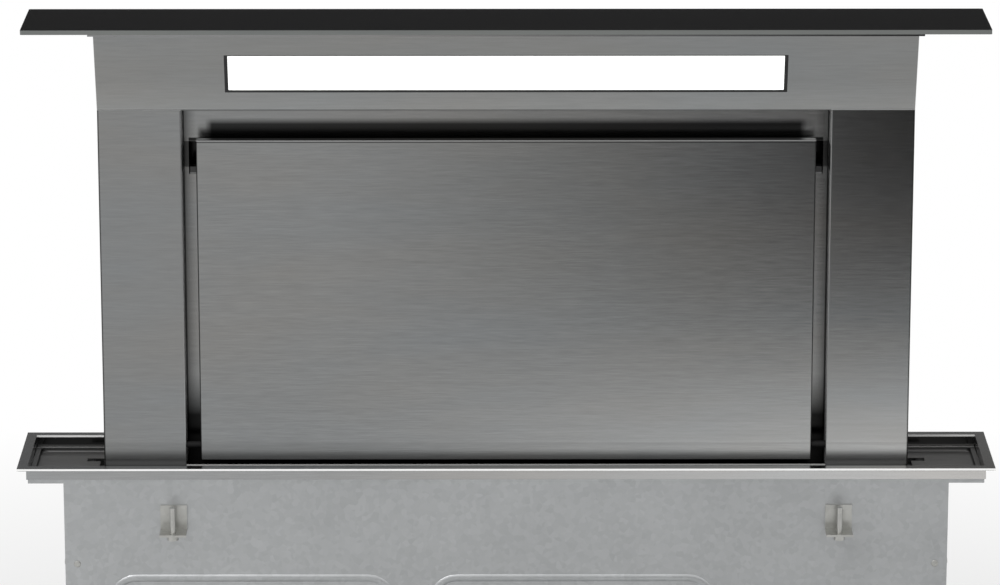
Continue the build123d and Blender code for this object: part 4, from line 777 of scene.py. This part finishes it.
# The outlet's moulded ridges, turned about its own axis. A profile's (distance, rise) pairs are in
# millimetres, and each ridge starts at its own distance from the box.
COLLAR_STOP = ((0.2, -0.3), (0.2, 3.0), (0.6, 3.4), (5.0, 3.4), (6.4, 2.2), (6.6, -0.3))
COLLAR_RIDGE = ((-2.0, -0.2), (-1.6, 0.9), (-0.7, 1.7), (0.7, 1.7), (1.6, 0.9), (2.0, -0.2))
COLLAR_PROFILES = ((2.0, COLLAR_STOP), (62.0, COLLAR_RIDGE), (70.0, COLLAR_RIDGE), (78.0, COLLAR_RIDGE))
FLANGE_SHEET = 2.0 * MM

duct = next(mount for mount in frame["record"]["mounts"] if mount["name"] == "duct_outlet")
collar_middle = duct["pos_m"][1:]
collar_radius = duct["dims"]["r_mm"] * MM
mesh = bmesh.new()
for start, profile in COLLAR_PROFILES:
    rings = []
    for reach, rise in profile:
        around = circle(collar_middle, collar_radius + rise * MM, 72)
        rings.append([(box_low.x - (start + reach) * MM, y, z) for y, z in around])
    loft(mesh, rings, caps=False)
piece("collar_ridges", "housing", "collar_plastic", mesh)
flange_low, flange_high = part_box("outlet_collar")
corners = [
    (box_low.x - FLANGE_SHEET, y, z)
    for y in (flange_low.y + EDGE_INSET, flange_high.y - EDGE_INSET)
    for z in (flange_low.z + EDGE_INSET, flange_high.z - EDGE_INSET)
]
rivets("collar_rivets", "housing", "zinc_plate", "left", corners)

# The control box: a rib on its lid and a gasket round its foot.
control_x, control_z = (control_low.x + control_high.x) / 2, (control_low.z + control_high.z) / 2
control_half = ((control_high.x - control_low.x) / 2, (control_high.z - control_low.z) / 2)
inner = (control_half[0] - 14.0 * MM, control_half[1] - 14.0 * MM)
strip = ((control_x, control_y, control_z), inner, 0.006)
raised("control_rib", "housing", "control_plastic", "front", [strip], STRIP)
foot = (control_half[0] + 1.5 * MM, control_half[1] + 1.5 * MM)
gasket = ((control_x, front_y, control_z), foot, 0.003)
raised("control_gasket", "housing", "foam", "front", [gasket], GASKET, caps=False)

# The column's back sheet, and the hem along the head's upper edge.
column_places = [(x, panel_back, z) for x in (-0.345, 0.345) for z in evenly(-0.11, 0.31, 7)]
rivets("rivets_column", "column", "zinc_plate", "back", column_places)
column_ribs = [((x, panel_back, 0.11), (0.155, 0.17), 0.025) for x in (-0.17, 0.17)]
pressed("ribs_column", "column", "column_steel", "back", column_ribs)
bead("head_hem", "column", "head_steel", head_high.x - 1.0 * MM, on_head(0.5 * MM, 0.0), 0.6 * MM)

# ---------------------------------------------------------------- studio
FLOOR_Z = cad_box[0][2]
FLOOR_SIZE = (40.0, 40.0)
FLOOR_COLOR = (0.82, 0.82, 0.815)
FLOOR_FADE = (0.9, 2.4)  # distances from the object at which the floor starts and ends turning white


def stage_plane(name, size, place, turn=(0.0, 0.0, 0.0)):
    """A flat sheet of the studio."""
    mesh = bpy.data.meshes.new(name)
    half_x, half_y = size[0] / 2, size[1] / 2
    corners = [(-half_x, -half_y, 0), (half_x, -half_y, 0), (half_x, half_y, 0), (-half_x, half_y, 0)]
    mesh.from_pydata(corners, [], [(0, 1, 2, 3)])
    sheet = bpy.data.objects.new(name, mesh)
    sheet.location = place
    sheet.rotation_euler = turn
    bpy.context.scene.collection.objects.link(sheet)
    return sheet


def ray_mask(tree):
    """1 for what the camera sees, directly or in a reflection or through glass, and 0 for light."""
    rays = tree.nodes.new("ShaderNodeLightPath")
    value = rays.outputs["Is Camera Ray"]
    for name in ("Is Glossy Ray", "Is Transmission Ray"):
        either = tree.nodes.new("ShaderNodeMath")
        either.operation = "MAXIMUM"
        tree.links.new(value, either.inputs[0])
        tree.links.new(rays.outputs[name], either.inputs[1])
        value = either.outputs[0]
    return value


def floor_material():
    """Pale floor that fades to the white of the backdrop away from the object."""
    f = Finish("floor", FLOOR_COLOR, roughness=0.9, specular=0.1)
    f.shade(f.noise((1.5, 1.5, 1.5)), 0.01)
    away = f.node("ShaderNodeVectorMath", operation="LENGTH")
    f.link(f.coords.outputs["Object"], away.inputs[0])
    fade = f.spread(away.outputs["Value"], *FLOOR_FADE)
    white = f.node("ShaderNodeEmission")
    mix = f.node("ShaderNodeMixShader")
    f.link(times(f.tree, fade, ray_mask(f.tree)), mix.inputs["Fac"])
    f.link(f.shader.outputs[0], mix.inputs[1])
    f.link(white.outputs[0], mix.inputs[2])
    f.link(mix.outputs[0], f.surface)
    return f.material


floor = stage_plane("floor", FLOOR_SIZE, (0.0, 0.0, FLOOR_Z))
floor.data.materials.append(floor_material())


def card(name, size, place, material):
    """An upright studio card that shows only in reflections."""
    sheet = stage_plane(name, size, place, (radians(90), 0.0, 0.0))
    sheet.data.materials.append(material)
    sheet.visible_camera = False
    sheet.visible_diffuse = False
    sheet.visible_shadow = False
    sheet.visible_transmission = False
    return sheet


def glow(name):
    """A material of plain emission, and the node that emits."""
    f = Finish(name, (0.5, 0.5, 0.5))
    shine = f.node("ShaderNodeEmission")
    f.link(shine.outputs[0], f.surface)
    return f, shine


# In the coordinates of a card, X runs to the right and Y upwards from its middle.
# The back card is dark above, for the glass, and lighter below, for the trim and the trays.
BACK_CARD_SIZE = (6.0, 1.15)
BACK_CARD_PLACE = (0.0, 1.6, 0.62)

back_card, shine = glow("back_card")
up = back_card.part("Object", "Y")
back_card.link(back_card.spread(up, -0.02, 0.04, 0.2, 0.02), shine.inputs["Strength"])
card("back_card", BACK_CARD_SIZE, BACK_CARD_PLACE, back_card.material)

# The front card is darker towards the right above and brighter below, as in the photograph. The
# levels on its right are (height above the worktop, brightness) pairs, and its left has one level.
FRONT_LEVELS = (
    (-0.64, 2.6),
    (-0.597, 2.3),
    (-0.566, 1.5),
    (-0.528, 0.86),
    (-0.466, 0.5),
    (-0.404, 0.32),
    (-0.33, 0.19),
    (-0.256, 0.08),
    (-0.194, 0.02),
    (0.3, 0.02),
    (0.45, 1.6),
    (1.0, 1.6),
)
FRONT_LEFT = (0.8, 0.8, 0.8, 1.0)
FRONT_BLEND = (-0.22, 0.5)  # its X, between which the left level gives way to the right ones
FRONT_Y = -2.02
FRONT_WIDTH = 4.4

front_foot = FRONT_LEVELS[0][0]
front_height = FRONT_LEVELS[-1][0] - front_foot
front, shine = glow("front_card")
ramp = front.node("ShaderNodeValToRGB")
ramp.color_ramp.interpolation = "LINEAR"
stops = ramp.color_ramp.elements
stops.remove(stops[1])
for n, (height, value) in enumerate(FRONT_LEVELS):
    at = (height - front_foot) / front_height
    stop = stops[0] if n == 0 else stops.new(at)
    stop.position = at
    stop.color = (value, value, value, 1.0)
rise = front.spread(front.part("Object", "Y"), -front_height / 2, front_height / 2)
front.link(rise, ramp.inputs["Fac"])
level = front.node("ShaderNodeMix", data_type="RGBA")
front.link(front.spread(front.part("Object", "X"), *FRONT_BLEND), level.inputs[0])
level.inputs[COLOR_A].default_value = FRONT_LEFT
front.link(ramp.outputs["Color"], level.inputs[COLOR_B])
front.link(level.outputs[COLOR_OUT], shine.inputs["Color"])
front_place = (0.0, FRONT_Y, front_foot + front_height / 2)
card("front_card", (FRONT_WIDTH, front_height), front_place, front.material)

# A one-sided strip in the trim's front gap stands for the worktop that the column's foot would mirror.
SLOT_CARD_SIZE = (0.85, 0.022)
SLOT_CARD_PLACE = (0.0, -0.0464, -0.0045)
SLOT_CARD_FOOT = 0.22

slot_card, shine = glow("slot_card")
side = slot_card.spread(slot_card.part("Object", "X"), -0.15, 0.34, 0.72, 1.4)
rise = slot_card.spread(slot_card.part("Object", "Y"), -1.0 * MM, 5.0 * MM)
strength = slot_card.node("ShaderNodeMix", data_type="FLOAT")
slot_card.link(rise, strength.inputs[0])
strength.inputs[VALUE_A].default_value = SLOT_CARD_FOOT
slot_card.link(side, strength.inputs[VALUE_B])
slot_card.link(strength.outputs[VALUE_OUT], shine.inputs["Strength"])
clear = slot_card.node("ShaderNodeBsdfTransparent")
one_sided = slot_card.node("ShaderNodeMixShader")
slot_card.link(slot_card.node("ShaderNodeNewGeometry").outputs["Backfacing"], one_sided.inputs["Fac"])
slot_card.link(clear.outputs[0], one_sided.inputs[1])
slot_card.link(shine.outputs[0], one_sided.inputs[2])
slot_card.link(one_sided.outputs[0], slot_card.surface)
card("slot_card", SLOT_CARD_SIZE, SLOT_CARD_PLACE, slot_card.material)

# The world is white where it is seen, directly or mirrored, and a little darker as light.
WORLD_LIGHT = 0.7

world = bpy.data.worlds.new("studio")
world.use_nodes = True
bpy.context.scene.world = world
sky = world.node_tree.nodes["Background"]
seen = world.node_tree.nodes.new("ShaderNodeMapRange")
seen.inputs["To Min"].default_value = WORLD_LIGHT
seen.inputs["To Max"].default_value = 1.0
world.node_tree.links.new(ray_mask(world.node_tree), seen.inputs["Value"])
world.node_tree.links.new(seen.outputs["Result"], sky.inputs["Strength"])
sky.inputs["Color"].default_value = (1.0, 1.0, 1.0, 1.0)

# One soft square lamp, high up in front at the left, looks at the origin.
KEY_PLACE = Vector((-2.2, -2.6, 3.4))
KEY_POWER = 95.0
KEY_SIZE = 2.2

key_data = bpy.data.lights.new("key", "AREA")
key_data.energy = KEY_POWER
key_data.size = KEY_SIZE
key = bpy.data.objects.new("key", key_data)
key.location = KEY_PLACE
key.rotation_euler = (-KEY_PLACE).to_track_quat("-Z", "Y").to_euler()
bpy.context.scene.collection.objects.link(key)
